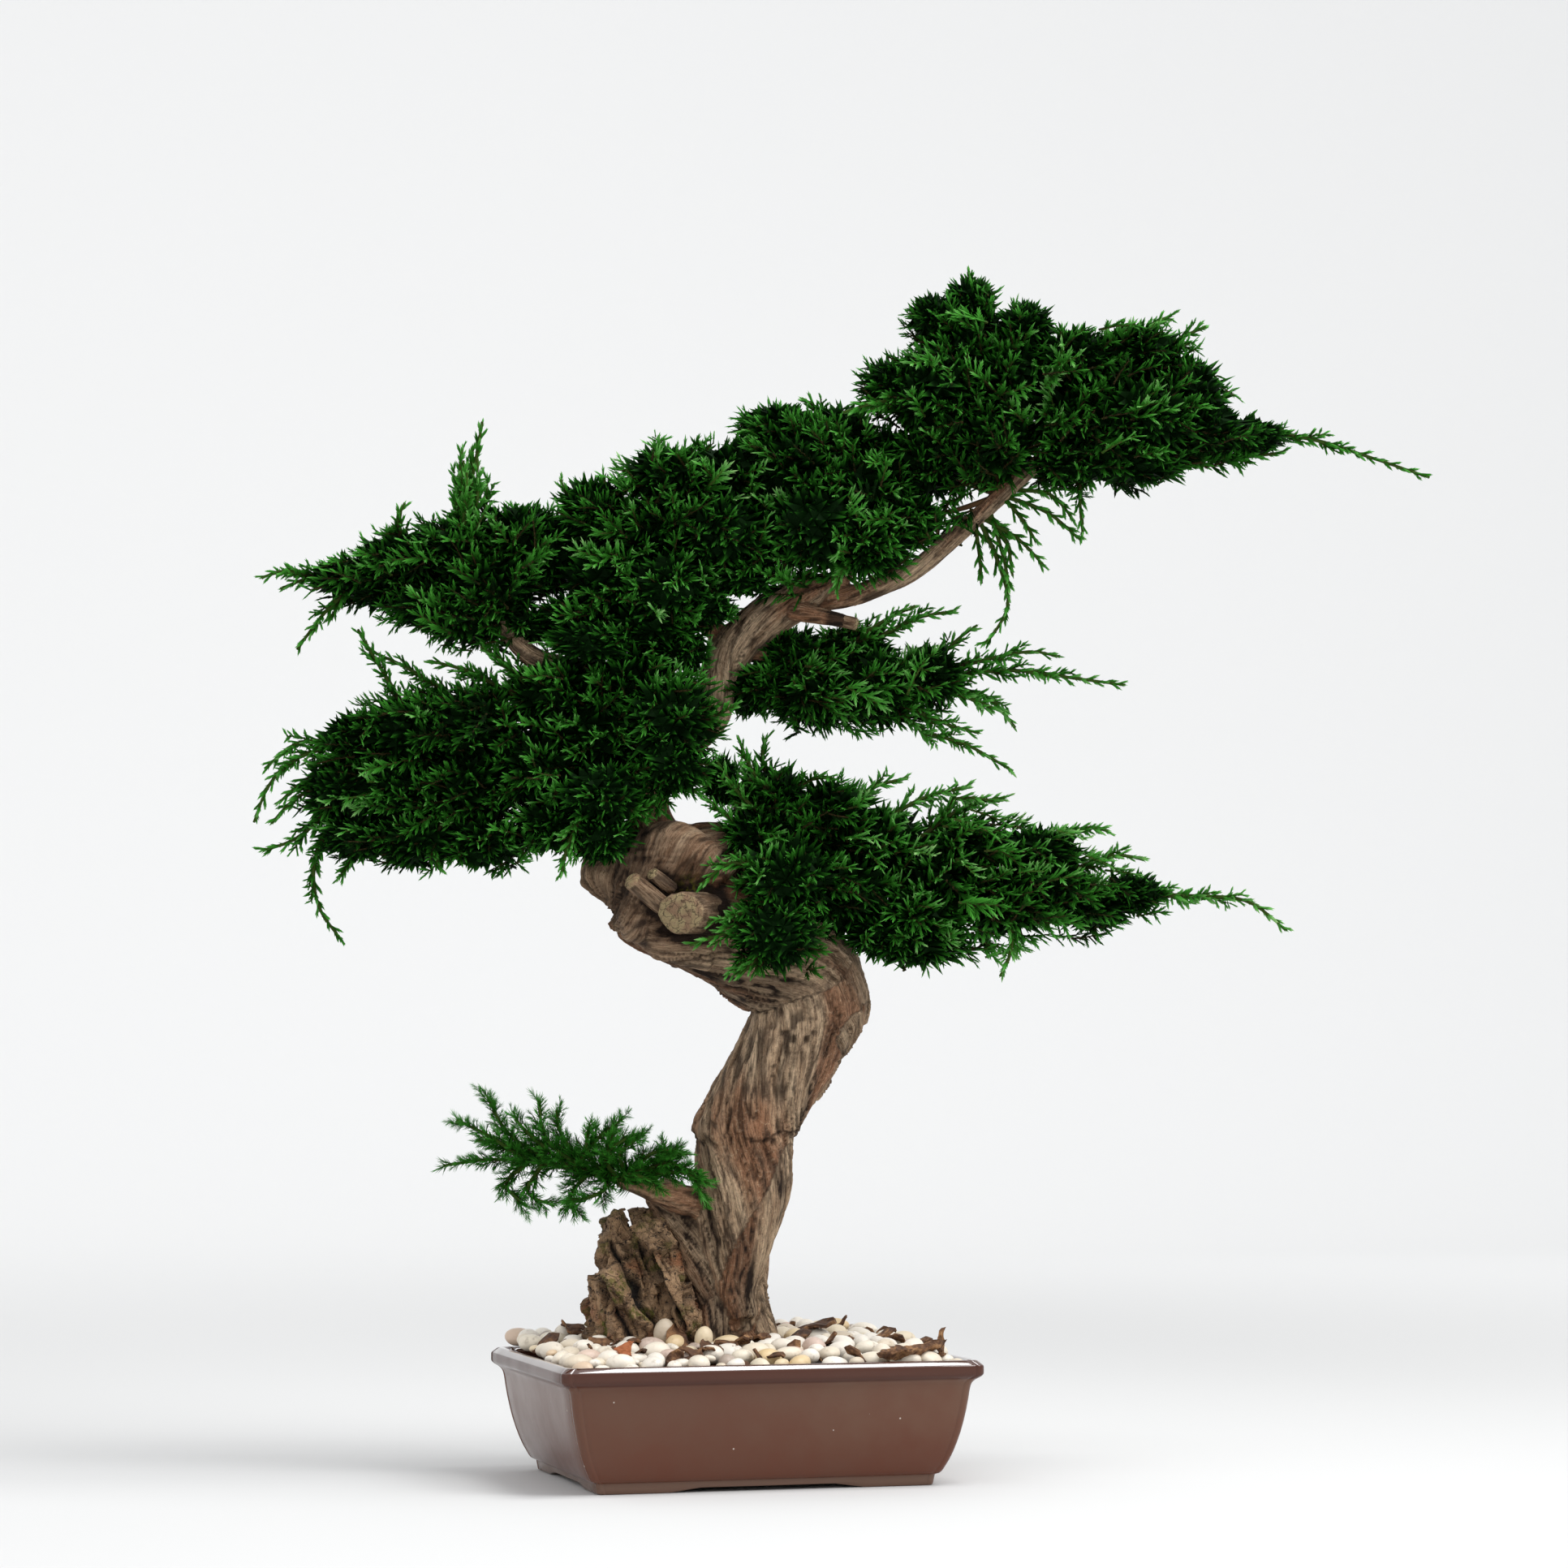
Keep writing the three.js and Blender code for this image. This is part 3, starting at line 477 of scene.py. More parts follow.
class Graph:
    """The nodes of a material or of a node group."""

    def __init__(self, tree: bpy.types.NodeTree) -> None:
        """Starts with an empty tree."""
        self.tree = tree
        self.tree.nodes.clear()

    def add(self, kind: str, inputs: dict[str | int, Input] | None = None,
            **settings: object) -> bpy.types.Node:
        """Adds a node.

        Args:
            kind: The node's kind.
            inputs: A value, or the socket that feeds it, for each input's name or number.
            settings: The node's properties.

        Returns:
            The node.
        """
        node = self.tree.nodes.new(kind)
        for name, value in settings.items():
            setattr(node, name, value)
        for key, value in (inputs or {}).items():
            if isinstance(value, Socket):
                self.tree.links.new(value, node.inputs[key])
            elif isinstance(value, tuple) and len(value) == 3 and node.inputs[key].type == "RGBA":
                node.inputs[key].default_value = (*value, 1)
            else:
                node.inputs[key].default_value = value
        return node

    def group(self, tree: bpy.types.NodeTree, **inputs: Input) -> Socket:
        """What a node group puts out for its inputs, which are named in small letters."""
        named = {name.capitalize(): value for name, value in inputs.items()}
        return self.add("ShaderNodeGroup", named, node_tree=tree).outputs[0]

    def attribute(self, name: str, output: str = "Fac") -> Socket:
        """The number, or the vector, that the mesh keeps for each point."""
        return self.add("ShaderNodeAttribute", attribute_name=name).outputs[output]

    def place(self) -> Socket:
        """The place on the object."""
        return self.add("ShaderNodeTexCoord").outputs["Object"]

    def math(self, operation: str, *values: Input) -> Socket:
        """A sum, product or other reckoning of one to three numbers."""
        return self.add("ShaderNodeMath", dict(enumerate(values)), operation=operation).outputs[0]

    def vector_math(self, operation: str, *values: Input) -> Socket:
        """A reckoning of one or two vectors."""
        return self.add("ShaderNodeVectorMath", dict(enumerate(values)), operation=operation).outputs[0]

    def noise(self, vector: Input, scale: Input, detail: float = 3, rough: float = 0.55) -> Socket:
        """Noise at a scale."""
        inputs = {"Vector": vector, "Scale": scale, "Detail": detail, "Roughness": rough}
        return self.add("ShaderNodeTexNoise", inputs).outputs["Fac"]

    def stray(self, vector: Input, scale: Input, reach: float, detail: float = 2) -> Socket:
        """A place shifted by noise.

        Args:
            vector: The place.
            scale: The noise's scale.
            reach: How far it shifts.
            detail: How many finer noises it holds.

        Returns:
            The new place.
        """
        inputs = {"Vector": vector, "Scale": scale, "Detail": detail}
        colour = self.add("ShaderNodeTexNoise", inputs).outputs["Color"]
        return self.vector_math("ADD", vector, self.vector_math("MULTIPLY", colour, (reach,) * 3))

    def stretch(self, value: Input, low: float, high: float) -> Socket:
        """A range of values stretched to 0 to 1."""
        inputs = {"Value": value, "From Min": low, "From Max": high}
        return self.add("ShaderNodeMapRange", inputs, interpolation_type="SMOOTHSTEP").outputs["Result"]

    def mix(self, share: Input, low: Input, high: Input) -> Socket:
        """Two colours mixed by a share."""
        return self.add("ShaderNodeMix", {0: share, 6: low, 7: high}, data_type="RGBA").outputs[2]

    def over(self, body: Input, colour: Input, share: Input, strength: float) -> Socket:
        """A colour laid over another by a share of some strength."""
        return self.mix(self.math("MULTIPLY", share, strength), body, colour)

    def ramp(self, share: Input, stops: Stops) -> Socket:
        """Colours along a share from 0 to 1.

        Args:
            share: The share.
            stops: Each colour's place and the colour.

        Returns:
            The colour.
        """
        node = self.add("ShaderNodeValToRGB", {"Fac": share})
        for _ in stops[2:]:
            node.color_ramp.elements.new(0.5)
        for element, (position, colour) in zip(node.color_ramp.elements, stops):
            element.position, element.color = position, (*colour, 1)
        return node.outputs["Color"]

    def bump(self, height: Input, depth: float, strength: float = 1) -> Socket:
        """A normal roughened by a height, whose full range is so many metres deep."""
        inputs = {"Height": height, "Distance": depth, "Strength": strength}
        return self.add("ShaderNodeBump", inputs).outputs["Normal"]


class Effects:
    """The shader effects that several finishes share, each a node group made once."""

    def __init__(self) -> None:
        """Makes the groups."""
        self.mottle_group = self._mottle()
        self.cracks_group = self._cracks()

    def mottle(self, graph: Graph, vector: Input, scale: float, contrast: float) -> Socket:
        """Blotches at a scale, with finer ones in them, from 0 to 1."""
        return graph.group(self.mottle_group, vector=vector, scale=scale, contrast=contrast)

    def cracks(self, graph: Graph, vector: Input, scale: float, width: float) -> Socket:
        """A net of cracks, 1 in a crack and 0 between."""
        return graph.group(self.cracks_group, vector=vector, scale=scale, width=width)

    @staticmethod
    def _start(name: str, third: str) -> Graph:
        """A new group that puts out one value.

        Args:
            name: The group's name.
            third: The name of its input beside the vector and the scale.

        Returns:
            The group's nodes, still empty.
        """
        tree = bpy.data.node_groups.new(name, "ShaderNodeTree")
        for label, kind in (("Vector", "Vector"), ("Scale", "Float"), (third, "Float")):
            tree.interface.new_socket(label, in_out="INPUT", socket_type=f"NodeSocket{kind}")
        tree.interface.new_socket("Value", in_out="OUTPUT", socket_type="NodeSocketFloat")
        return Graph(tree)

    def _mottle(self) -> bpy.types.NodeTree:
        """The group of two noises.

        Returns:
            The group.
        """
        graph = self._start("mottle", "Contrast")
        given = graph.add("NodeGroupInput").outputs
        broad = graph.noise(given["Vector"], given["Scale"], 2, 0.5)
        fine = graph.noise(given["Vector"], graph.math("MULTIPLY", given["Scale"], 4.3), 4, 0.5)
        both = graph.math("MULTIPLY_ADD", fine, 0.4, graph.math("MULTIPLY", broad, 0.6))
        centred = graph.math("MULTIPLY", graph.math("SUBTRACT", both, 0.5), given["Contrast"])
        value = graph.add("ShaderNodeMath", {0: centred, 1: 0.5}, operation="ADD", use_clamp=True)
        graph.add("NodeGroupOutput", {"Value": value.outputs[0]})
        return graph.tree

    def _cracks(self) -> bpy.types.NodeTree:
        """The group of uneven cells.

        Returns:
            The group.
        """
        graph = self._start("cracks", "Width")
        given = graph.add("NodeGroupInput").outputs
        moved = graph.stray(given["Vector"], given["Scale"], 0.012, 3)
        cells = graph.add("ShaderNodeTexVoronoi", {"Vector": moved, "Scale": given["Scale"]},
                          feature="DISTANCE_TO_EDGE")
        edge = graph.add("ShaderNodeMapRange", {"Value": cells.outputs["Distance"], "From Min": 0.0,
                                                "From Max": given["Width"], "To Min": 1.0, "To Max": 0.0})
        graph.add("NodeGroupOutput", {"Value": edge.outputs["Result"]})
        return graph.tree


@dataclass(frozen=True)
class Finish:
    """A surface finish; each kind paints its own colour, roughness and relief."""

    name: str
    slot: str = ""  # what the part calls it
    roughness: float = 0.5
    specular: float = 0.5

    def material(self, effects: Effects) -> bpy.types.Material:
        """Makes the finish's material.

        Args:
            effects: The shared node groups.

        Returns:
            The material.
        """
        material = bpy.data.materials.new(self.name)
        material.use_nodes = True
        graph = Graph(material.node_tree)
        inputs = {"Roughness": self.roughness, "Specular IOR Level": self.specular}
        shader = graph.add("ShaderNodeBsdfPrincipled", {**inputs, **self.paint(graph, effects)})
        graph.add("ShaderNodeOutputMaterial", {"Surface": shader.outputs[0]})
        return material

    def paint(self, graph: Graph, effects: Effects) -> dict[str, Input]:
        """The shader's inputs that change over the surface, by name."""
        raise NotImplementedError


@dataclass(frozen=True)
class BrownGlaze(Finish):
    """A glossy brown glaze that runs redder towards the foot and dustier to the right, with painted shade on
    the lip and a painted floor reflection on the foot.
    """

    name: str = "brown_glaze"
    slot: str = "glaze"
    specular: float = 0.36
    brown: Colour = linear(94, 62, 45)
    dusty: Colour = linear(106, 76, 58)
    red: Colour = linear(94, 50, 31)
    # painted shade: the lip is painted a darker red-brown, standing in for its dimmer reflection
    rim: Colour = linear(70, 34, 21)
    # painted reflection: the foot is painted paler grey-brown, as if it mirrored the pale floor
    foot: Colour = linear(112, 90, 76)
    speck: Colour = linear(200, 190, 180)
    # the heights in metres over which each one comes in
    reddened: Span = (0.066, 0.004)
    dusted: Span = (0.012, 0.04)
    lip_shaded: Span = (0.0757, 0.0772)
    floor_reflected: Span = (0.0085, 0.0065)
    coated: Span = (0.0859, 0.0867)
    dusted_across: Span = (-0.14, 0.09)

    def paint(self, graph: Graph, effects: Effects) -> dict[str, Input]:
        """Brown clouded with red, a few pale specks and a faint orange-peel relief, with painted shade on the
        lip and a painted floor reflection on the foot.
        """
        place = graph.place()
        across, _, height = graph.add("ShaderNodeSeparateXYZ", {0: place}).outputs
        cloud = effects.mottle(graph, place, 13.0, 3.6)
        low = graph.stretch(height, *self.reddened)
        redness = graph.math("MULTIPLY_ADD", low, 0.7, graph.math("MULTIPLY", cloud, 0.5))
        dust = graph.math("MULTIPLY", graph.stretch(across, *self.dusted_across),
                          graph.stretch(height, *self.dusted))
        body = graph.mix(redness, graph.mix(dust, self.brown, self.dusty), self.red)
        # painted shade: darker red-brown over the lip
        body = graph.over(body, self.rim, graph.stretch(height, *self.lip_shaded), 0.9)
        # painted reflection of the floor on the foot
        body = graph.over(body, self.foot, graph.stretch(height, *self.floor_reflected), 0.7)
        cells = graph.add("ShaderNodeTexVoronoi", {"Vector": place, "Scale": 62.0}).outputs["Distance"]
        specks = graph.stretch(cells, 0.045, 0.03)
        gloss = graph.math("MULTIPLY_ADD", graph.stretch(height, *self.coated), 0.9, 0.04)
        return {"Base Color": graph.mix(specks, body, self.speck),
                "Roughness": graph.math("MULTIPLY_ADD", cloud, 0.12, 0.15),
                "Coat Weight": gloss, "Coat Roughness": 0.06, "Coat IOR": 1.8,
                "Normal": graph.bump(effects.mottle(graph, place, 60.0, 1.0), 0.0004, 0.5)}


@dataclass(frozen=True)
class DampSoil(Finish):
    """Dark crumbled soil."""

    name: str = "damp_soil"
    roughness: float = 0.95
    dark: Colour = linear(28, 20, 15)
    light: Colour = linear(66, 48, 36)

    def paint(self, graph: Graph, effects: Effects) -> dict[str, Input]:
        """Crumbs in two browns."""
        crumbs = effects.mottle(graph, graph.place(), 160.0, 2.5)
        return {"Base Color": graph.mix(crumbs, self.dark, self.light), "Normal": graph.bump(crumbs, 0.003)}


@dataclass(frozen=True)
class WashedPebble(Finish):
    """Smooth pale pebbles, each with its own tint."""

    name: str = "washed_pebble"
    slot: str = "pebble"
    roughness: float = 0.42
    stops: Stops = (
        (0.0, linear(192, 176, 154)), (0.2, linear(227, 214, 192)), (0.4, linear(238, 229, 214)),
        (0.6, linear(238, 231, 219)), (0.75, linear(228, 216, 192)), (0.86, linear(220, 194, 148)),
        (0.93, linear(214, 190, 176)), (1.0, linear(160, 148, 134)))
    stain: Colour = linear(120, 98, 74)

    def paint(self, graph: Graph, effects: Effects) -> dict[str, Input]:
        """The pebble's own tint, with faint clouds and stains."""
        cloud = effects.mottle(graph, graph.place(), 90.0, 2.4)
        tint = graph.ramp(graph.attribute("tint"), self.stops)
        body = graph.over(tint, self.stain, graph.stretch(cloud, 0.62, 1.0), 0.45)
        return {"Base Color": body, "Normal": graph.bump(cloud, 0.0006, 0.6)}


@dataclass(frozen=True)
class MossyRock(Finish):
    """Weathered brown rock with painted shade in its crevices, orange patches and moss."""

    name: str = "mossy_rock"
    slot: str = "rock"
    roughness: float = 0.85
    stone: Colour = linear(136, 104, 74)
    pale: Colour = linear(196, 160, 122)
    rust: Colour = linear(172, 108, 70)
    dark: Colour = linear(28, 17, 10)
    moss: Colour = linear(96, 96, 22)

    def paint(self, graph: Graph, effects: Effects) -> dict[str, Input]:
        """Stone in patches, darkened by painted shade in its crevices and cracks, and greened by its moss."""
        place = graph.place()
        body = graph.mix(effects.mottle(graph, place, 42.0, 3.4), self.stone, self.pale)
        body = graph.over(body, self.rust, graph.stretch(graph.noise(place, 30, 4), 0.54, 0.66), 0.7)
        grain = effects.mottle(graph, place, 210.0, 2.6)
        body = graph.mix(graph.stretch(grain, 0.45, 0.1), body, self.dark)
        cracks = effects.cracks(graph, place, 70.0, 0.05)
        # painted shade: the stored crevice shade and a net of cracks darken the stone
        crevice_shade = graph.math("MAXIMUM", graph.attribute("crevice_shade"), graph.math("MULTIPLY", cracks, 0.4))
        body = graph.mix(crevice_shade, body, self.dark)
        mossy = graph.math("MULTIPLY", graph.attribute("moss"),
                           graph.stretch(graph.noise(place, 190, 4), 0.4, 0.6))
        relief = graph.math("SUBTRACT", grain, graph.math("MULTIPLY", cracks, 0.5))
        return {"Base Color": graph.mix(mossy, body, self.moss), "Normal": graph.bump(relief, 0.003)}


@dataclass(frozen=True)
class FibrousBark(Finish):
    """Stringy juniper bark that runs along the wood, with cut faces and moss."""

    name: str = "fibrous_bark"
    slot: str = "bark"
    roughness: float = 0.8
    specular: float = 0.25
    tan: Colour = linear(250, 218, 180)
    grey: Colour = linear(182, 148, 116)
    red: Colour = linear(184, 120, 82)
    deep: Colour = linear(116, 74, 46)
    dark: Colour = linear(40, 25, 15)
    cut: Colour = linear(206, 184, 138)
    moss: Colour = linear(112, 108, 22)

    def paint(self, graph: Graph, effects: Effects) -> dict[str, Input]:
        """Strips of tan, grey and red along the grain, dark between them, with painted shade in the fissures
        and hollows and under the burl.
        """
        grain = graph.attribute("grain", "Vector")
        place = graph.place()
        strips = effects.mottle(graph, grain, 0.2, 3.6)
        strings = graph.noise(grain, 0.8, 6, 0.68)
        hairs = graph.noise(grain, 1.8, 3, 0.6)
        flakes = graph.noise(graph.stray(place, 160.0, 0.004), 330, 4, 0.7)
        body = graph.mix(strips, self.grey, self.tan)
        body = graph.mix(graph.attribute("red"), body, self.red)
        for value, span, colour, strength in (
                (strings, (0.56, 0.36), self.dark, 0.52), (hairs, (0.5, 0.34), self.dark, 0.4),
                (flakes, (0.54, 0.68), self.tan, 0.45), (flakes, (0.46, 0.32), self.dark, 0.38)):
            body = graph.over(body, colour, graph.stretch(value, *span), strength)
        # painted shade: deeper brown under the burl and on the cut limbs' sides
        body = graph.mix(graph.attribute("shaded"), body, self.deep)
        # painted shade: dark in the fissures, hollows and joints
        body = graph.mix(graph.attribute("crevice_shade"), body, self.dark)
        face = graph.mix(graph.stretch(graph.noise(place, 130, 4), 0.42, 0.62), self.cut, self.grey)
        face = graph.over(face, self.dark, effects.cracks(graph, place, 150.0, 0.07), 0.8)
        body = graph.mix(graph.attribute("cut"), body, face)
        mossy = graph.math("MULTIPLY", graph.attribute("moss"),
                           graph.stretch(graph.noise(place, 260, 3), 0.42, 0.6))
        fine = graph.math("ADD", strings, graph.math("MULTIPLY", hairs, 0.6))
        broad = graph.math("MULTIPLY_ADD", strips, 0.5, graph.math("MULTIPLY", flakes, 0.7))
        return {"Base Color": graph.mix(mossy, body, self.moss),
                "Normal": graph.bump(graph.math("ADD", fine, broad), 0.0045)}


@dataclass(frozen=True)
class DryBark(Finish):
    """Dry curled bark and leaves."""

    name: str = "dry_bark"
    slot: str = "dry_bark"
    roughness: float = 0.75
    brown: Colour = linear(118, 78, 46)
    dark: Colour = linear(58, 36, 22)
    pale: Colour = linear(172, 130, 86)
    orange: Colour = linear(176, 100, 56)

    def paint(self, graph: Graph, effects: Effects) -> dict[str, Input]:
        """Brown with darker and paler streaks, orange where it is ruddy."""
        streaks = effects.mottle(graph, graph.place(), 70.0, 3.4)
        body = graph.mix(streaks, self.dark, self.brown)
        paler = graph.math("MULTIPLY", graph.attribute("tint"), graph.stretch(streaks, 0.4, 0.9))
        body = graph.mix(paler, body, self.pale)
        body = graph.mix(graph.attribute("ruddy"), body, self.orange)
        return {"Base Color": body, "Normal": graph.bump(streaks, 0.0012)}


@dataclass(frozen=True)
class JuniperGreen(Finish):
    """Scale-like needles, bright at the tips and dark inside with painted shade, on brown twigs."""

    name: str = "juniper_green"
    slot: str = "foliage"
    roughness: float = 0.6
    specular: float = 0.035
    stops: Stops = (
        (0.0, linear(7, 28, 5)), (0.25, linear(30, 82, 17)), (0.5, linear(60, 132, 42)),
        (0.75, linear(106, 164, 86)), (1.0, linear(160, 198, 130)))
    twig: Colour = linear(84, 62, 42)

    def paint(self, graph: Graph, effects: Effects) -> dict[str, Input]:
        """Green by the needle's tone, brown where it is twig."""
        drift = graph.math("SUBTRACT", effects.mottle(graph, graph.place(), 18.0, 1.6), 0.5)
        tone = graph.math("ADD", graph.attribute("tone"), graph.math("MULTIPLY", drift, 0.16))
        green = graph.ramp(tone, self.stops)
        return {"Base Color": graph.mix(graph.attribute("wood"), green, self.twig)}


@dataclass(frozen=True)
class PaleSweep(Finish):
    """The matt pale paper that the pot stands on."""

    name: str = "pale_sweep"
    roughness: float = 0.9
    specular: float = 0.1
    floor: Colour = (0.69, 0.69, 0.685)
    # painted shade: the floor is darker towards the key light
    key_side_shade: Colour = (0.61, 0.61, 0.605)
    # painted light: the far paper and backdrop are painted paler
    wall: Colour = (0.9, 0.9, 0.893)

    def paint(self, graph: Graph, effects: Effects) -> dict[str, Input]:
        """Paper painted paler far away, as painted light where less lamp light reaches it, and darker towards
        the key light, as painted shade against its glare.
        """
        place = graph.place()
        across = graph.add("ShaderNodeSeparateXYZ", {0: place}).outputs["X"]
        near = graph.mix(graph.stretch(across, -0.3, 0.9), self.floor, self.key_side_shade)
        away = graph.add("ShaderNodeVectorMath", {0: place}, operation="LENGTH").outputs["Value"]
        return {"Base Color": graph.mix(graph.stretch(away, 1.0, 3.6), near, self.wall)}


class Palette:
    """Every finish's material, made once when it is first asked for."""

    def __init__(self) -> None:
        """Makes the shared effects."""
        self.effects = Effects()
        self.made: dict[str, bpy.types.Material] = {}

    def dress(self, obj: Object, finish: Finish) -> None:
        """Gives an object a finish.

        Args:
            obj: The object.
            finish: Its finish.
        """
        if finish.name not in self.made:
            self.made[finish.name] = finish.material(self.effects)
        if not obj.material_slots:
            obj.data.materials.append(None)
        for slot in obj.material_slots:
            slot.material = self.made[finish.name]

    def seat(self, obj: Object, finish: Finish, *nodes: str) -> None:
        """Dresses a finished piece and puts it on the part, in place of some of its solids.

        Args:
            obj: The piece.
            finish: Its finish.
            nodes: The solids that it stands for.
        """
        self.dress(obj, finish)
        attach(obj, "root")
        if nodes:
            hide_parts(*nodes)
        log.info("%s: %d faces", obj.name, len(obj.data.polygons))


# ----------------------------------------
# Pot, soil and dressing
# ----------------------------------------

SIDES = ((1, 0), (0, 1), (-1, 0), (0, -1))  # the way out through each wall, counterclockwise
X_TO_Y = np.array([[0, -1, 0], [1, 0, 0], [0, 0, 1]])  # a quarter turn


@dataclass
class Pot:
    """A rectangular pot with a rolled lip, beaded corners and four broad feet."""

    length: float = 309
    depth: float = 238
    corner: float = 6.5  # radius
    side_share: float = 0.76  # how far the short walls lean, against the long ones
    bead: float = 0.9  # height of the ridge down each corner
    groove: float = 0.9  # depth of the hollow beside the ridge
    front_gap: float = 60.5  # half the way between the feet
    side_gap: float = 46
    skirt: float = 46  # greatest inset of the skirt
    foot_lift: float = 3
    # where the outline has points, out from the middle of a short wall and of a long one
    spots: Rows = ((15, 30, 44.5, 46, 47.5, 70, 88), (20, 40, 59, 60.5, 62, 90, 118))
    corner_spots: Row = (0.8, 2.2, 4.5)  # and back from where each corner begins
    # height and inset from the lip's edge, down the inside, over the lip and down the outside
    profile: Rows = (
        (14, 33), (24, 26), (46, 18.8), (68, 15), (80, 12.6), (86, 10.6), (88.6, 8.9), (89.7, 7.1),
        (90, 5.5), (90, 3.9), (89.85, 3.1), (89.5, 2.4), (86.9, -0.61), (86.4, -1.05), (85.8, -1.35),
        (85, -1.5), (80.9, -1.5), (79.9, -1.3), (79, -0.7), (78.1, 0.3), (77.2, 1.6), (76.2, 3.2), (75, 4.6),
        (73.6, 5.7), (71.6, 6.5), (68, 7.2), (62, 8), (54, 9.3), (46, 10.9), (38, 12.8), (30, 15.2),
        (24, 17.3), (18, 19.8), (14, 21.9), (11, 23.5), (9.4, 24.6), (8.4, 25.8), (7.9, 27.2), (7.6, 28.2),
        (7, 28.6), (3.6, 29.2), (0.6, 29.7), (0, 30.4), (0, 43.6), (0.6, 44), (6, 44.6))

    def outline(self) -> Array:
        """The lip's outline from above, counterclockwise, with a beaded curve at each corner.

        Returns:
            A row of x and y for each point.
        """
        half = np.array([self.length, self.depth]) / 2 - self.corner
        points = []
        for k, side in enumerate(SIDES):
            out, onward = np.array(side), np.array(SIDES[(k + 1) % 4])
            start = math.radians(90 * (k - 1))
            for angle in np.linspace(0, math.pi / 2, 13):
                bulge = self.bead * max(0, math.sin(2 * angle)) ** 0.5
                direction = np.array([math.cos(start + angle), math.sin(start + angle)])
                points.append((out - onward) * half + direction * (self.corner - 0.4 + bulge * 0.7))
            limit = abs(onward) @ half
            spots = [spot for spot in self.spots[k % 2] if spot < limit - 6]
            spots += [limit - spot for spot in self.corner_spots]
            for spot in sorted([0, *spots, *(-spot for spot in spots)]):
                groove = self.groove * math.exp(-((limit - abs(spot) - 1.2) / 1.4) ** 2)
                points.append(out * (abs(out) @ half + self.corner - groove) + onward * spot)
        return np.array(points)

    def build(self) -> Object:
        """Extrudes the outline up and over the profile, level by level.

        Returns:
            The finished pot.
        """
        outline = self.outline()
        half = np.array([self.length, self.depth]) / 2
        shares = np.array([1, self.side_share])
        pot = start_from(bpy.ops.mesh.primitive_circle_add, "glazed_pot",
                         vertices=len(outline), fill_type="NGON")
        height, inset = self.profile[0]
        start = outline * (1 - inset * shares / half)
        move_points(pot, from_pot(np.column_stack([start, np.full(len(start), height)])))
        middle = Vector(POT_MIDDLE)
        bpy.ops.object.mode_set(mode="EDIT")
        bpy.ops.mesh.select_all(action="SELECT")
        for (z0, inset0), (z1, inset1) in zip(self.profile, self.profile[1:]):
            scale = (half - inset1 * shares) / (half - inset0 * shares)
            bpy.ops.mesh.extrude_edges_move(TRANSFORM_OT_translate={"value": (0, 0, (z1 - z0) * MM)})
            bpy.ops.transform.resize(value=(*scale, 1), center_override=middle)
        bpy.ops.mesh.edge_face_add()
        bpy.ops.mesh.select_all(action="SELECT")
        bpy.ops.mesh.normals_make_consistent(inside=False)
        bpy.ops.object.mode_set(mode="OBJECT")
        self._raise_between_feet(pot)
        shade(pot, sharp=40)
        return pot

    def _raise_between_feet(self, pot: Object) -> None:
        """Lifts the skirt's edge off the ground between the feet.

        Args:
            pot: The pot.
        """
        points = points_of(pot)
        x, y, z = np.abs((points - POT_MIDDLE) / MM).T
        front = (x < self.front_gap) & (y > self.depth / 2 - self.skirt * self.side_share)
        side = (y < self.side_gap) & (x > self.length / 2 - self.skirt)
        points[(front | side) & (z < 1), 2] += self.foot_lift * MM
        move_points(pot, points)


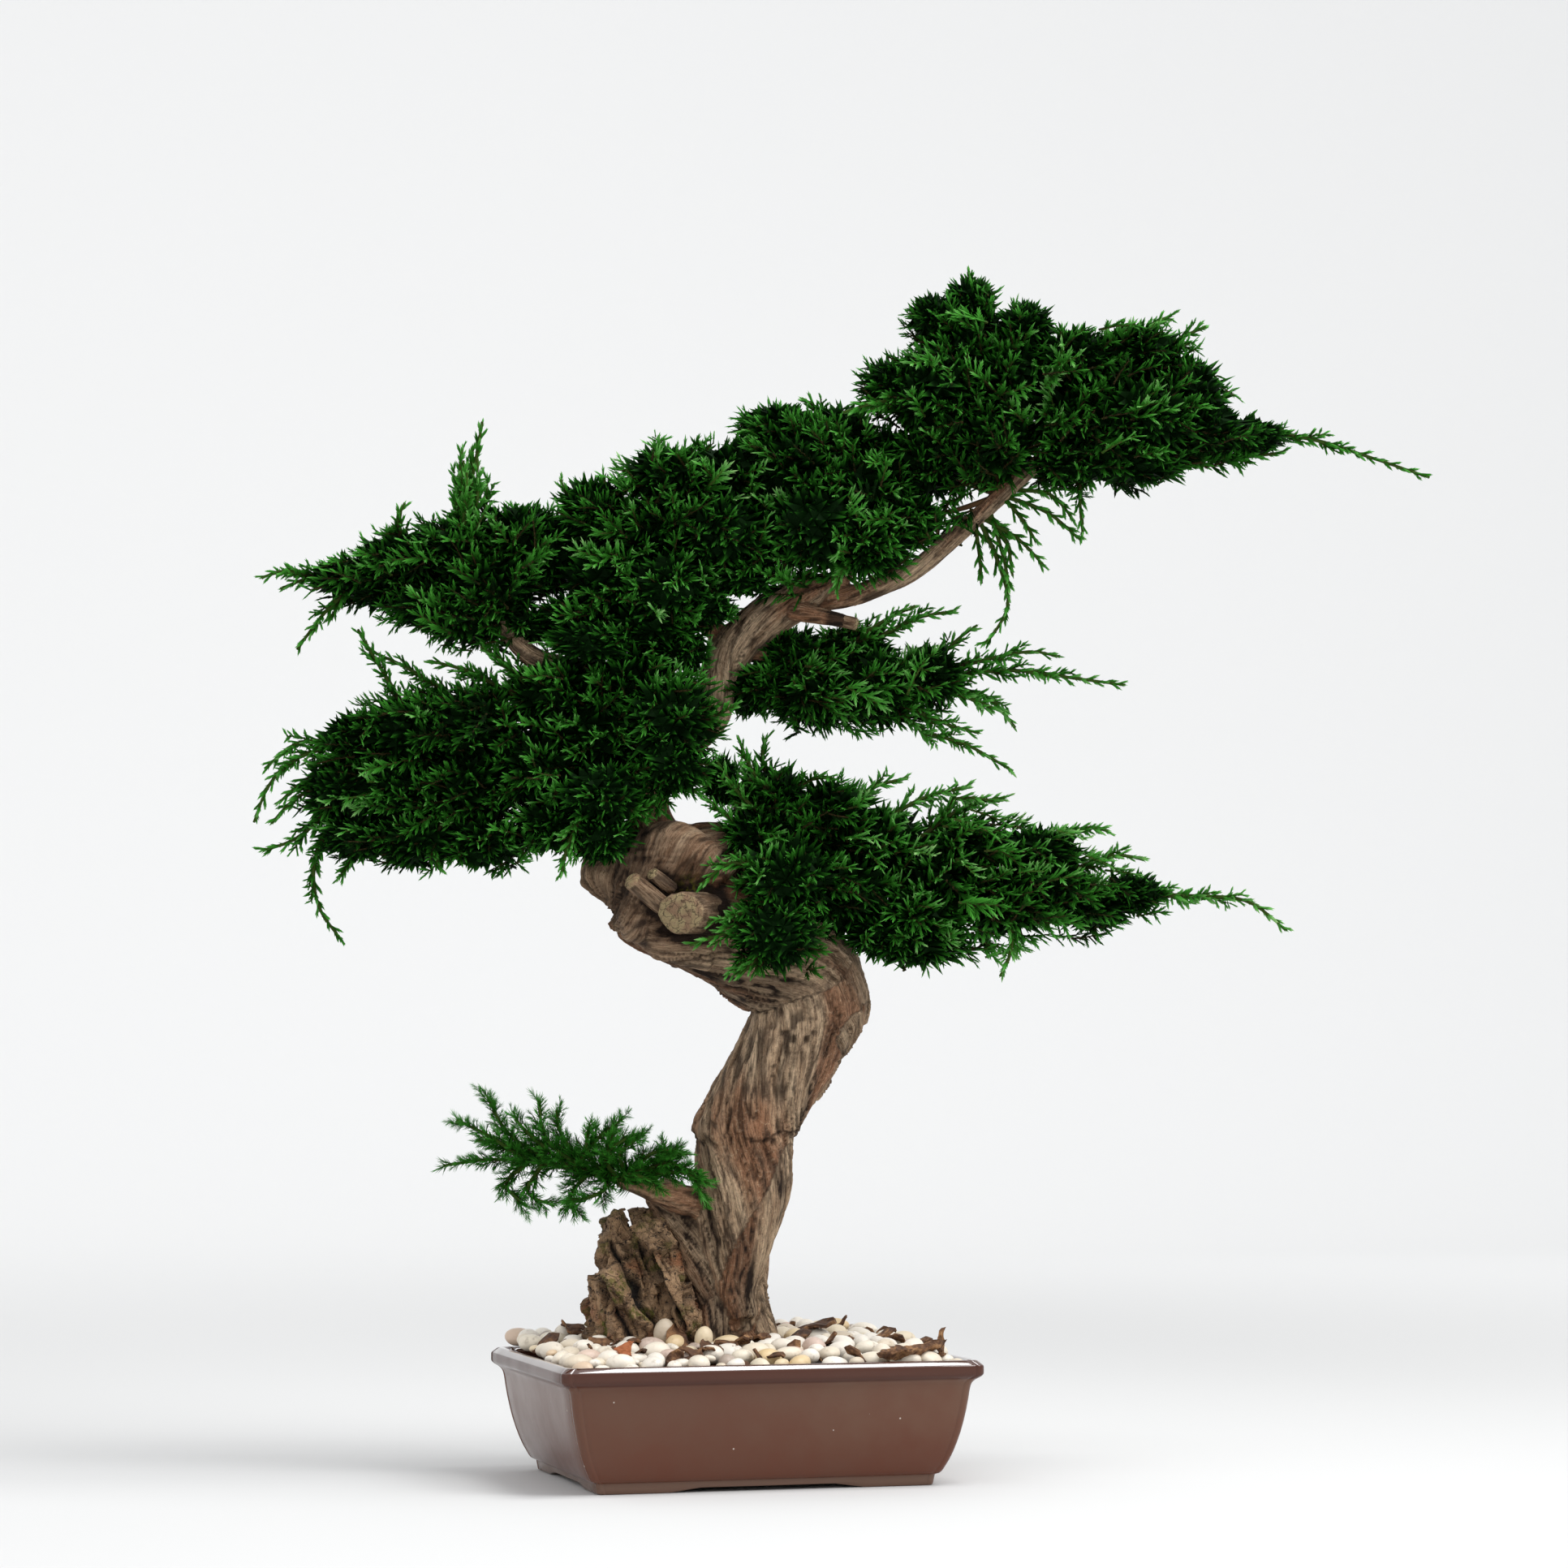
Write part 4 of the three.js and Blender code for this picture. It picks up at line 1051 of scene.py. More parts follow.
@dataclass
class Dressing:
    """A heaped layer of washed pebbles with bark chips among them."""

    rim: float = 86  # height of the bed at the rim, in the hollows
    heap: float = 9.5
    back_rise: float = 8
    half_length: float = 145
    half_depth: float = 110.5
    sizes: Row = (10.5, 9, 7.8, 6.6, 5.6, 4.8)  # half lengths
    room: float = 0.84  # that a stone takes on the bed, over its half length
    tries: int = 900  # for each size
    kinds: int = 8
    under: float = 5.5  # how much deeper the lower layer lies
    chips: int = 66
    chip_lift: float = 3.6
    # x, y, z, half length and tint of the stones that stand on end
    upright: Rows = ((-49, -28, 107, 10.5, 0.03), (-20, -34, 103, 9.2, 0.8))
    # x, y, height over the bed, half length and tint of the larger chips
    placed: Rows = (
        (61, 36, 10, 15, 0.5), (110, 24, 7, 12, 0.7), (121, 6, 8, 9, 0.2), (-119, 34, 9, 9, 0),
        (-55, -22, 8, 13, 0.4), (-39, -34, 9, 12, 0.3), (-3, -52, 8, 10, 0.1), (9, -48, 9, 10, 1),
        (-96, -34, 7, 11, 0.3), (-136, -8, 6, 11, 0.2), (-101, 8, 6, 10, 0.4), (-28, -92, 8, 10, 0.2),
        (92, -74, 5, 11, 0.4), (22, -12, 6, 12, 0.5), (136, 14, 5, 12, 0.6), (48, 14, 6, 11, 0.3),
        (-70, -48, 6, 10, 0.3), (70, -20, 5, 10, 0.6), (116, -40, 5, 12, 0.5), (30, -84, 6, 9, 0.3),
        (-14, -70, 8, 11, 0.1))
    # x, y and radius, in the tree's frame, of the trunk, the rocks and the ruddy chip
    stands: Rows = ((-2, 14, 33), (-76, 2, 30), (-36, -4, 16), (-76, -99, 10))
    seed: int = 7

    def height(self, x: float, y: float) -> float:
        """The height of the bed at a place about the pot's middle.

        Args:
            x: How far to the right.
            y: How far back.

        Returns:
            The height over the ground.
        """
        u, v = x / (Pot.length / 2), y / (Pot.depth / 2)
        edge = min(1, max(abs(u), abs(v)) ** 5)
        return self.rim + self.heap * (1 - edge) + self.back_rise * v * (1 - edge * 0.5)

    def _blocked(self, place: Array) -> bool:
        """Whether something stands at a place in the scene."""
        spot = to_tree(place)[0]
        return any(math.hypot(spot[0] - x, spot[1] - y) < radius for x, y, radius in self.stands)

    def _places(self, draw: Draw) -> list[Row]:
        """Finds places for pebbles that barely touch.

        Args:
            draw: The source of the places that are tried.

        Returns:
            The x, y and half length of each.
        """
        taken: list[Row] = []
        for size in self.sizes:
            reach = size * self.room
            for _ in range(self.tries):
                x = draw.uniform(-self.half_length, self.half_length)
                y = draw.uniform(-self.half_depth, self.half_depth)
                if abs(x) > self.half_length - reach * 0.6 or abs(y) > self.half_depth - reach * 0.6:
                    continue
                if self._blocked(from_pot([[x, y, 0]])):
                    continue
                if all(math.hypot(x - a, y - b) > reach + self.room * c for a, b, c in taken):
                    taken.append((x, y, size))
        return taken

    @staticmethod
    def _stone(draw: Draw) -> Shape:
        """Rounds one stone of unit half length, a little uneven.

        Args:
            draw: The source of its unevenness.

        Returns:
            The stone, its length along +X.
        """
        stone = start_from(bpy.ops.mesh.primitive_ico_sphere_add, "stone", subdivisions=3, radius=1)
        points = points_of(stone)
        bulge = 1 + 0.22 * (noise(points * 0.9 + draw.uniform(0, 90, 3)) - 0.5)
        move_points(stone, points * bulge[:, None] * (1, draw.uniform(0.64, 0.86), draw.uniform(0.52, 0.74)))
        shape = shape_of(stone)
        shape.values["tint"] = np.zeros(len(shape.points))
        return shape

    def build(self) -> Object:
        """Lays two layers of pebbles over the bed, and the odd ones on end.

        Returns:
            The finished bed.
        """
        draw = np.random.default_rng(self.seed)
        stones = [self._stone(draw) for _ in range(self.kinds)]
        laid = []
        top = [(*place, 0.0) for place in self._places(draw)]
        under = [(*place, -self.under) for place in self._places(draw) if place[2] < self.sizes[1]]
        for x, y, size, drop in top + under:
            z = self.height(x, y) + 2.4 + drop + draw.uniform(-1.4, 2.4)
            up = np.array([[*draw.normal(0, 0.42, 2), 1.0]])
            heading = draw.uniform(0, 2 * math.pi)
            along = np.array([[math.cos(heading), math.sin(heading), 0.0]])
            turn = frames(along, unit(up)) * size * MM * draw.uniform(0.92, 1.08)
            tint = draw.beta(2.2, 2.4) if draw.random() < 0.86 else draw.uniform(0.8, 1)
            stone = stones[draw.integers(len(stones))]
            laid.append(stone.copies(turn @ X_TO_Y, from_pot([[x, y, z]]), tint=np.array([tint])))
        for x, y, z, size, tint in self.upright:
            turn = frames(np.array([[0.12, -0.05, 1]]), np.array([[0.2, -1.0, 0]])) * size * MM
            laid.append(stones[2].copies(turn @ X_TO_Y, from_tree([[x, y, z]]), tint=np.array([tint])))
        return Shape.join(laid).to_object("washed_pebbles", smooth=True)

    @staticmethod
    def _chip() -> Shape:
        """Curls one thin leaf of bark of unit half length.

        Returns:
            The chip.
        """
        sheet = start_from(bpy.ops.mesh.primitive_grid_add, "chip",
                           x_subdivisions=5, y_subdivisions=3, size=2)
        points = points_of(sheet)
        points[:, 1] *= 0.55 * (1 - 0.55 * np.abs(points[:, 0]) ** 2)
        points += shake(points * 1.7, 0, 40) * (0.5, 0.5, 0.9)
        move_points(sheet, points)
        apply_modifier(sheet, "SOLIDIFY", thickness=0.16, offset=0.0)
        chip = shape_of(sheet)
        chip.values["tint"] = np.zeros(len(chip.points))
        return chip

    def build_chips(self) -> Object:
        """Scatters thin bark chips between the pebbles.

        Returns:
            All chips as one piece.
        """
        draw = np.random.default_rng(self.seed + 1)
        chip = self._chip()
        spots = draw.uniform(-1, 1, (self.chips, 2)) * (self.half_length - 6, self.half_depth - 6)
        spots = to_tree(from_pot(np.column_stack([spots, np.zeros(self.chips)])))[:, :2]
        scattered = [(*spot, self.chip_lift, draw.uniform(4.5, 9), draw.uniform()) for spot in spots]
        laid = []
        for x, y, lift, size, tint in (*scattered, *self.placed):
            place = from_tree([[x, y, 100]])
            if self._blocked(place):
                continue
            place[0, 2] = POT_MIDDLE[2] + (self.height(*(place - POT_MIDDLE)[0, :2] / MM) + lift) * MM
            up = draw.normal(0, 0.55, 3) + (0, 0, 1)
            heading = draw.uniform(0, 2 * math.pi)
            turn = frames(np.array([[math.cos(heading), math.sin(heading), 0.3]]), up[None])
            laid.append(chip.copies(turn * MM * size, place, tint=np.array([tint])))
        return Shape.join(laid).to_object("bark_chips")


@dataclass
class Litter:
    """The larger dry pieces that lie on the pebbles, worked up from their solids."""

    nodes: tuple[str, ...] = ("bark_curl", "bark_point", "bark_chip",
                              "dry_leaf_left", "dry_leaf_back", "dry_leaf_right")
    ruddy: str = "bark_chip"

    def build(self, node: str) -> Object:
        """Roughens and frays one piece.

        Args:
            node: Its solid.

        Returns:
            The finished piece.
        """
        seed = 10 * self.nodes.index(node)
        piece = copy_of(node, f"{node}_frayed")
        apply_modifier(piece, "SUBSURF", levels=2, render_levels=2, subdivision_type="SIMPLE")
        points = points_of(piece)
        broad, fine = shake(points * 160, seed, 30), shake(points * 420, seed + 9, 30)
        move_points(piece, points + broad * 0.004 + fine * 0.0014)
        store(piece.data, "tint", noise(points * 90, seed))
        store(piece.data, "ruddy", np.full(len(points), 0.8 if node == self.ruddy else 0))
        return piece


@dataclass
class Rocks:
    """Two lobes of craggy, mossy rock beside the trunk."""

    voxel: float = 1.5
    lean: float = 0.52  # of the splits, sideways over height
    splits: Rows = ((22, 11), (2, 9), (-20, 6))  # place across the lean, and depth
    facet: float = 19  # across one flat face
    left: float = -104  # where its left side is cut back
    # Rows of x, y, z and radius of the stone that fills out a lobe.
    fills: dict[str, Rows] = field(default_factory=lambda: {
        "rock_lump": ((-66, 0, 92, 26), (-68, 0, 140, 20), (-69, 2, 172, 15), (-70, 2, 186, 10)),
        "rock_slab": ((-38, -6, 92, 17), (-44, -5, 130, 15), (-50, -4, 160, 13.5), (-61, -2, 184, 11))})

    def _facets(self, points: Array, seed: int) -> tuple[Array, Array]:
        """Breaks the stone into flat faces, each tilted its own way.

        Args:
            points: The stone's points, straightened along its splits.
            seed: Picks the faces.

        Returns:
            The lift of each point, and how near it lies to a crease.
        """
        draw = np.random.default_rng(seed)
        room = np.ptp(points, axis=0) + self.facet
        count = int(np.prod(room) / self.facet**3)
        seats = points.min(axis=0) - self.facet / 2 + draw.random((count, 3)) * room
        tilts = draw.normal(0, 0.26, (count, 3))
        steps = draw.uniform(-1, 1, count) * 2.2
        gaps = np.linalg.norm(points[:, None] - seats[None], axis=2)
        first, second = np.argsort(gaps, axis=1)[:, :2].T
        every = np.arange(len(points))
        lift = steps[first] + np.einsum("ij,ij->i", points - seats[first], tilts[first])
        return lift, smoothstep(2.6, 0.3, gaps[every, second] - gaps[every, first])

    def build(self, node: str) -> Object:
        """Fills out, splits, weathers and greens one lobe.

        Args:
            node: Its solid.

        Returns:
            The finished lobe.
        """
        fill = tube(smooth_way(self.fills[node], 4.0), 16)
        whole = Shape.join([shape_of(copy_of(node, "solid")), Shape(from_tree(fill.points), fill.faces)])
        spots = to_tree(whole.points)
        spots[:, 0] = np.maximum(spots[:, 0], self.left + 0.24 * np.maximum(spots[:, 2] - 132, 0))
        rock = Shape(from_tree(spots), whole.faces).to_object(f"{node}_weathered")
        fuse(rock, self.voxel, smoothing=3)
        points = to_tree(points_of(rock))
        # straight along the splits
        run = points + points[:, 2:] * (self.lean, 0, 0) + 9 * shake(points / 14, 40)
        faces, crease = self._facets(run * (1, 1, 0.55), 5)
        chips, edge = self._facets(run * (2.4, 2.4, 1.6), 6)
        grit = noise(points / 2.6, 10)
        lift = 1.1 * faces + 0.28 * chips + 5 * (noise(points / 17, 8) - 0.5)
        lift += 1.4 * (grit - 0.5) - 1.6 * crease
        # painted shade: the creases between faces, the chipped edges and the splits are stored as dark
        # crevices
        dark = 0.4 * crease + 0.14 * edge
        top = smoothstep(184, 164, points[:, 2])
        for place, depth in self.splits:
            near = np.exp(-((run[:, 0] - place) / 2.8) ** 2) * top
            lift -= depth * near
            dark = np.maximum(dark, 1.2 * near)
        raise_points(rock, lift)
        store(rock.data, "crevice_shade", np.clip(dark, 0, 1))
        low = smoothstep(170, 90, points[:, 2])
        moss = smoothstep(0.52, 0.7, noise(points / 12, 31)) * (0.5 + 0.6 * low)
        store(rock.data, "moss", np.clip(moss, 0, 1))
        shade(rock, sharp=32)
        return rock


# ----------------------------------------
# Trunk
# ----------------------------------------

@dataclass
class Trunk:
    """The trunk, its roots, burl and the boughs, all one wood."""

    voxel: float = 1.9
    # Rows of x, y, z and radius along the middle of each stretch of wood.
    stretches: dict[str, Rows] = field(default_factory=lambda: {
        "lower": ((0, 18, 70, 35), (0, 19, 82, 34), (-2, 19, 102, 31.5), (-5, 16, 128, 29),
                  (-4, 15, 153, 28.5), (0, 11, 189, 31), (6, 10, 219, 35), (10, 9, 249, 35),
                  (22, 5, 279, 33.5), (39, 1, 309, 34), (53, 0, 334, 38), (58.5, 0, 350, 40),
                  (58, 0, 366, 34), (52, 0, 376, 22)),
        "left_flank": ((-56, 8, 209, 10), (-43, 9, 196, 16), (-29, 9, 170, 19), (-14, 9, 128, 22),
                       (-4, 12, 92, 27)),
        "right_flank": ((29, 6, 262, 14), (26, 2, 232, 18), (22.5, 0, 202, 18), (12, -4, 168, 16),
                        (3, -6, 138, 14), (5, -6, 116, 12)),
        "sweep": ((66, 1, 338, 34), (52, -2, 364, 40), (24, -4, 383, 41), (-7, -4, 401, 40.5),
                  (-32, 0, 417, 45), (-50, 2, 431, 46)),
        "burl": ((-86, 4, 410, 16), (-78, 4, 414, 28), (-62, 3, 424, 43), (-44, 2, 436, 46),
                 (-26, 2, 446, 39), (-10, 2, 452, 26), (12, 4, 446, 16)),
        "shoulder": ((-70, -16, 448, 17), (-48, -24, 462, 19), (-26, -26, 452, 18), (-8, -26, 436, 16)),
        "belly": ((-76, -18, 420, 15), (-62, -28, 401, 13), (-40, -34, 388, 11.5), (-14, -34, 380, 11)),
        "limb": ((-50, 4, 450, 34), (-60, 7, 474, 20), (-62, 10, 497, 13.5), (-54, 18, 524, 13),
                 (-34, 20, 543, 13), (-16, 20, 562, 13.5), (-12, 20, 583, 14), (-3, 19, 608, 15),
                 (18, 15, 630, 15), (44, 11, 646, 14), (64, 9, 655, 11.5)),
        "left_stub": ((-88, 2, 438, 15), (-104, 0, 444, 12.5), (-110, -1, 445, 11)),
        "cut_knot": ((-8, -22, 414, 17), (-24, -36, 413, 17.5), (-32, -44, 412, 15)),
        "right_root": ((-2, 14, 150, 14), (8, 8, 124, 12.5), (17, 4, 104, 9.5), (25, 2, 84, 8)),
        "front_root": ((-10, 6, 140, 13), (-12, -8, 112, 13), (-13, -14, 84, 10)),
        "bare_bough": ((52, 10, 647, 9), (84, 11, 650, 8), (113, 10, 660, 7.5), (138, 8, 673, 7.4),
                       (169, 4, 698, 7), (216, 0, 740, 6), (240, 0, 760, 5)),
        "middle_bough": ((56, 10, 652, 9), (80, 12, 664, 8), (92, 8, 692, 6), (92, 2, 712, 5)),
        "middle_left_bough": ((-8, 20, 618, 8), (-28, 16, 648, 6.5), (-48, 6, 668, 5)),
        "upper_left_bough": ((-20, 22, 566, 8), (-64, 20, 588, 8), (-116, 4, 596, 8), (-146, -14, 602, 8.5),
                             (-166, -14, 622, 6.5), (-172, -12, 634, 5)),
        "lower_left_bough": ((-60, 10, 508, 9), (-84, 0, 522, 7), (-96, -8, 532, 6)),
        "under_bough": ((6, 18, 616, 8), (30, 24, 606, 6), (52, 28, 594, 5)),
        "lower_right_bough": ((-22, 6, 438, 16), (8, 14, 450, 10), (36, 12, 456, 7)),
        "low_bough": ((-20, 4, 196, 14), (-46, -8, 206, 10), (-68, -12, 213, 7), (-84, -11, 217, 4.4)),
        "fork_stub": ((46, 4, 640, 8), (68, -4, 634, 6.2), (84, -8, 630, 5.2)),
    })
    lumps: tuple[str, ...] = ("shoulder", "belly", "cut_knot", "left_stub")  # the fibres run past them
    twist: float = 0.013  # turn of the fibres, in radians per millimetre
    # x, y, z, reach and depth of the hollows round the cut stubs
    hollows: Rows = ((-38, -46, 431, 9, 11), (-54, -46, 438, 7, 7), (-22, -45, 427, 8, 9),
                     (-50, -46, 403, 7, 5), (-12, -44, 420, 6, 6), (-60, -40, 205, 10, 6),
                     (-58, -40, 416, 6, 5))
    scar: Row = (46, -36, 326, 19)  # where the bark is knobbly and grey, and how far
    # height at x = 0, rise over x, step and fade of the edges where an upper layer ends
    edges: Rows = ((249, 0.1, 3.4, 46),)
    mossy: Rows = ((-30, -46, 432, 8), (-20, -46, 424, 5), (-30, -10, 94, 12), (4, -22, 88, 10))
    flute_depth: float = 11  # of the broad folds of the wood
    layer_depth: float = 2.9  # of one peeling layer
    string_depth: float = 1.8

    def build(self) -> Object:
        """Joins the stretches into one wood, then raises its bark.

        Returns:
            The finished wood.
        """
        ways = {name: smooth_way(rows, 4.0) for name, rows in self.stretches.items()}
        wood = Shape.join([tube(way, 20) for way in ways.values()]).to_object("juniper_wood")
        move_points(wood, from_tree(points_of(wood)))
        fuse(wood, self.voxel, smoothing=4)
        self._carve(wood, ways)
        shade(wood)
        return wood

    def _grain(self, points: Array, ways: dict[str, Array]) -> tuple[Array, ...]:
        """Finds, for each point, its place along and around the two nearest stretches of wood.

        Args:
            points: The wood's points.
            ways: The middle of each stretch.

        Returns:
            The place in both stretches, their thickness, and the first one's share of the point.
        """
        every = np.arange(len(points))
        ratios, grains, thick = [], [], []
        for way in (way for name, way in ways.items() if name not in self.lumps):
            middles, radii = way[:, :3], way[:, 3]
            along = unit(np.gradient(middles, axis=0))
            sides = sides_along(along, (1.0, 0.2, 0.1))
            gaps = [np.linalg.norm(points - middle, axis=1) / radius
                    for middle, radius in zip(middles, radii)]
            nearest = np.argmin(gaps, axis=0)
            offset = points - middles[nearest]
            place = run_along(middles)[nearest] + np.einsum("ij,ij->i", offset, along[nearest])
            u = np.einsum("ij,ij->i", offset, sides[nearest])
            v = np.einsum("ij,ij->i", offset, np.cross(along, sides)[nearest])
            angle = np.arctan2(v, u) + self.twist * place
            radius = radii.mean()
            grains.append(np.stack([radius * np.cos(angle), radius * np.sin(angle), place], axis=1))
            ratios.append(np.linalg.norm(offset, axis=1) / radii[nearest])
            thick.append(np.full(len(points), radius))
        ratios, grains, thick = map(np.array, (ratios, grains, thick))
        first, second = np.argsort(ratios, axis=0)[:2]
        share = 1 / (1 + np.exp(-10 * (ratios[second, every] - ratios[first, every])))
        return grains[first, every], grains[second, every], thick[first, every], thick[second, every], share

    def _bark(self, grain: Array, thick: Array) -> Array:
        """The lift of the bark's flutes, peeling layers and strings, and the fissures between them.

        Args:
            grain: Places along and around the fibres.
            thick: The wood's thickness at each.

        Returns:
            The lift in millimetres, and how deep in a fissure each point lies, 0 to 1.
        """
        stretch = grain / (1, 1, 5.5)
        warp = (noise(stretch / 8, 77) - 0.5)[:, None]
        flutes = noise(grain / (24, 24, 140) + 0.4 * warp, 1)
        layers = 3.6 * (0.65 * noise(stretch / 7.5 + warp, 2) + 0.35 * noise(stretch / 3.2 + warp, 5))
        over = layers % 1
        terraces = np.floor(layers) + smoothstep(0.3, 0.6, over)
        fissure = smoothstep(0.02, 0.3, over) * smoothstep(0.6, 0.34, over)
        fissure += 0.6 * smoothstep(0.42, 0.3, flutes)
        strings = ridges(grain / (2.4, 2.4, 20) + warp, 3)
        lift = (self.flute_depth * (flutes - 0.5) + self.layer_depth * (terraces - 1.6)
                + self.string_depth * (strings - 0.5))
        return np.array([np.clip(thick / 36, 0.22, 1) * lift, fissure])

    def _carve(self, wood: Object, ways: dict[str, Array]) -> None:
        """Raises the bark, opens the hollows and stores what the finish reads, with painted shade in the
        hollows, fissures and joints and under the burl.

        Args:
            wood: The wood.
            ways: The middle of each stretch.
        """
        points = to_tree(points_of(wood))
        first, second, thick, other_thick, share = self._grain(points, ways)
        lift, fissure = share * self._bark(first, thick) + (1 - share) * self._bark(second, other_thick)
        recess_shade = np.zeros(len(points))
        # painted shade: dark in the hollows round the cut stubs
        for *middle, reach, depth in self.hollows:
            near = nearness(points, middle, reach)
            lift -= depth * near
            recess_shade = np.maximum(recess_shade, near)
        scar = nearness(points, self.scar[:3], self.scar[3], 4)
        knobs = noise(points / 5, 14)
        lift = lift * (1 - 0.5 * scar) + scar * 7 * (knobs - 0.5)
        fissure = fissure * (1 - scar) + scar * smoothstep(0.52, 0.36, knobs)
        x, _, z = points.T
        patchy = smoothstep(0.4, 0.6, noise(points / 20, 16))
        for height, rise, step, fade in self.edges:
            above = z - height - rise * x - 14 * (noise(points / 9, 15) - 0.5)
            lift += step * smoothstep(-1.5, 1.5, above) * smoothstep(fade, 0, above)
            # painted shade: a dark line along the foot of each step
            recess_shade = np.maximum(recess_shade, 0.7 * np.exp(-((above + 1) / 1.8) ** 2) * patchy)
        # painted shade: dark where the trunk meets the cut limbs
        for limb in CUT_LIMBS:
            recess_shade = np.maximum(recess_shade, 0.85 * smoothstep(5.5, 1, limb.gaps(points)))
        raise_points(wood, lift)
        low = smoothstep(330, 130, z) * smoothstep(-12, 14, x)
        red = smoothstep(0.46, 0.78, noise(first / (13, 13, 90), 6) + 0.12 * low)
        # painted shade under the burl, where the foliage above shades the bark
        burl_shade = nearness((points - (-44, -20, 424)) / (60, 60, 46), (0, 0, 0), 1, 4)  # under the burl
        moss = sum(nearness(points, spot[:3], spot[3]) for spot in self.mossy)
        for name, numbers in (
                ("grain", first / (1, 1, 9)), ("crevice_shade", np.clip(0.8 * fissure + recess_shade + 0.16 * burl_shade, 0, 1)),
                ("shaded", 0.62 * burl_shade), ("red", red * 0.7), ("cut", np.zeros(len(points))),
                ("moss", np.clip(moss, 0, 1))):
            store(wood.data, name, numbers)


@dataclass
class CutLimb:
    """The sawn end of a limb, its face checked by drying."""

    name: str
    foot: Row
    tip: Row
    radius: float
    flat: float = 1.0  # its height over its width

    def gaps(self, points: Array) -> Array:
        """How far points stand off the limb's side.

        Args:
            points: The points, in the tree's frame.

        Returns:
            A number for each point.
        """
        foot, along = np.array(self.foot, float), np.subtract(self.tip, self.foot)
        share = np.clip((points - foot) @ along / (along @ along), 0, 1)
        return np.linalg.norm(points - foot - share[:, None] * along, axis=1) - self.radius

    def build(self) -> Object:
        """Turns a short round log with a slightly domed face and an uneven outline.

        Returns:
            The finished limb.
        """
        limb = start_from(bpy.ops.mesh.primitive_cylinder_add, self.name, vertices=36, radius=1, depth=1)
        bpy.ops.object.mode_set(mode="EDIT")
        mesh = bmesh.from_edit_mesh(limb.data)
        for face in mesh.faces:
            face.select_set(face.normal.z > 0.9)
        bmesh.update_edit_mesh(limb.data)
        for thickness, depth in ((0.1, 0.08), (0.35, 0.05), (0.3, 0.0)):
            bpy.ops.mesh.inset(thickness=thickness, depth=depth)
        bpy.ops.mesh.select_all(action="SELECT")
        bpy.ops.mesh.quads_convert_to_tris()
        bpy.ops.mesh.subdivide(number_cuts=2)
        bpy.ops.object.mode_set(mode="OBJECT")
        points = points_of(limb)
        across = np.linalg.norm(points[:, :2], axis=1)
        face = smoothstep(0.4, 0.5, points[:, 2]) * smoothstep(0.98, 0.9, across)
        uneven = 1 + 0.22 * (noise(points[:, [0, 1, 0]] * 1.3 + 7, 3) - 0.5)
        uneven += 0.1 * (noise(points * 5, 4) - 0.5)
        along = np.subtract(self.tip, self.foot)
        shaped = points * np.column_stack([uneven, uneven, np.ones(len(points))])
        shaped *= (self.radius, self.radius * self.flat, 1)
        shaped[:, 2] = (shaped[:, 2] + 0.5) * np.linalg.norm(along) + 0.9 * (noise(points * 4, 5) - 0.5)
        turn = frames(np.array([along], float), np.array([[0, 0, 1.0]]))[0]
        move_points(limb, from_tree(shaped[:, [0, 2, 1]] * (-1, 1, 1) @ turn.T + self.foot))
        strings = smoothstep(0.55, 0.35, noise(shaped / (2.5, 2.5, 12), 6))
        none = np.zeros(len(points))
        # painted shade: the limb's bark is darker than its cut face, and darkest in the fissures between its
        # strings
        for name, numbers in (
                ("cut", face), ("grain", shaped / (1, 1, 7)),
                ("crevice_shade", (0.12 + 0.6 * strings) * (1 - face)), ("shaded", 0.4 * (1 - face)),
                ("red", none), ("moss", none)):
            store(limb.data, name, numbers)
        shade(limb)
        return limb


CUT_LIMBS = (
    CutLimb("sawn_knot", (-20, -28, 413), (-36, -58, 411), 20, 0.78),
    CutLimb("sawn_stub", (-48, -38, 415), (-71, -55, 434), 7.8, 0.9),
    CutLimb("sawn_twig", (-44, -38, 430), (-57, -50, 440), 5.5, 0.9),
    CutLimb("sawn_fork", (76, -6, 632), (91, -9, 628), 4.8),
)


# ----------------------------------------
# Foliage
# ----------------------------------------

NEEDLE_FOOT = np.array([[-1, 0, -0.35], [1, 0, -0.35], [0, 0, 0.95]])  # its corners, for half a width of 1


class Habit(Enum):
    """How a shoot holds its needles: pressed to its twig, packed into a thick cord, or standing open."""

    CLOSE = "close"
    CORD = "cord"
    OPEN = "open"


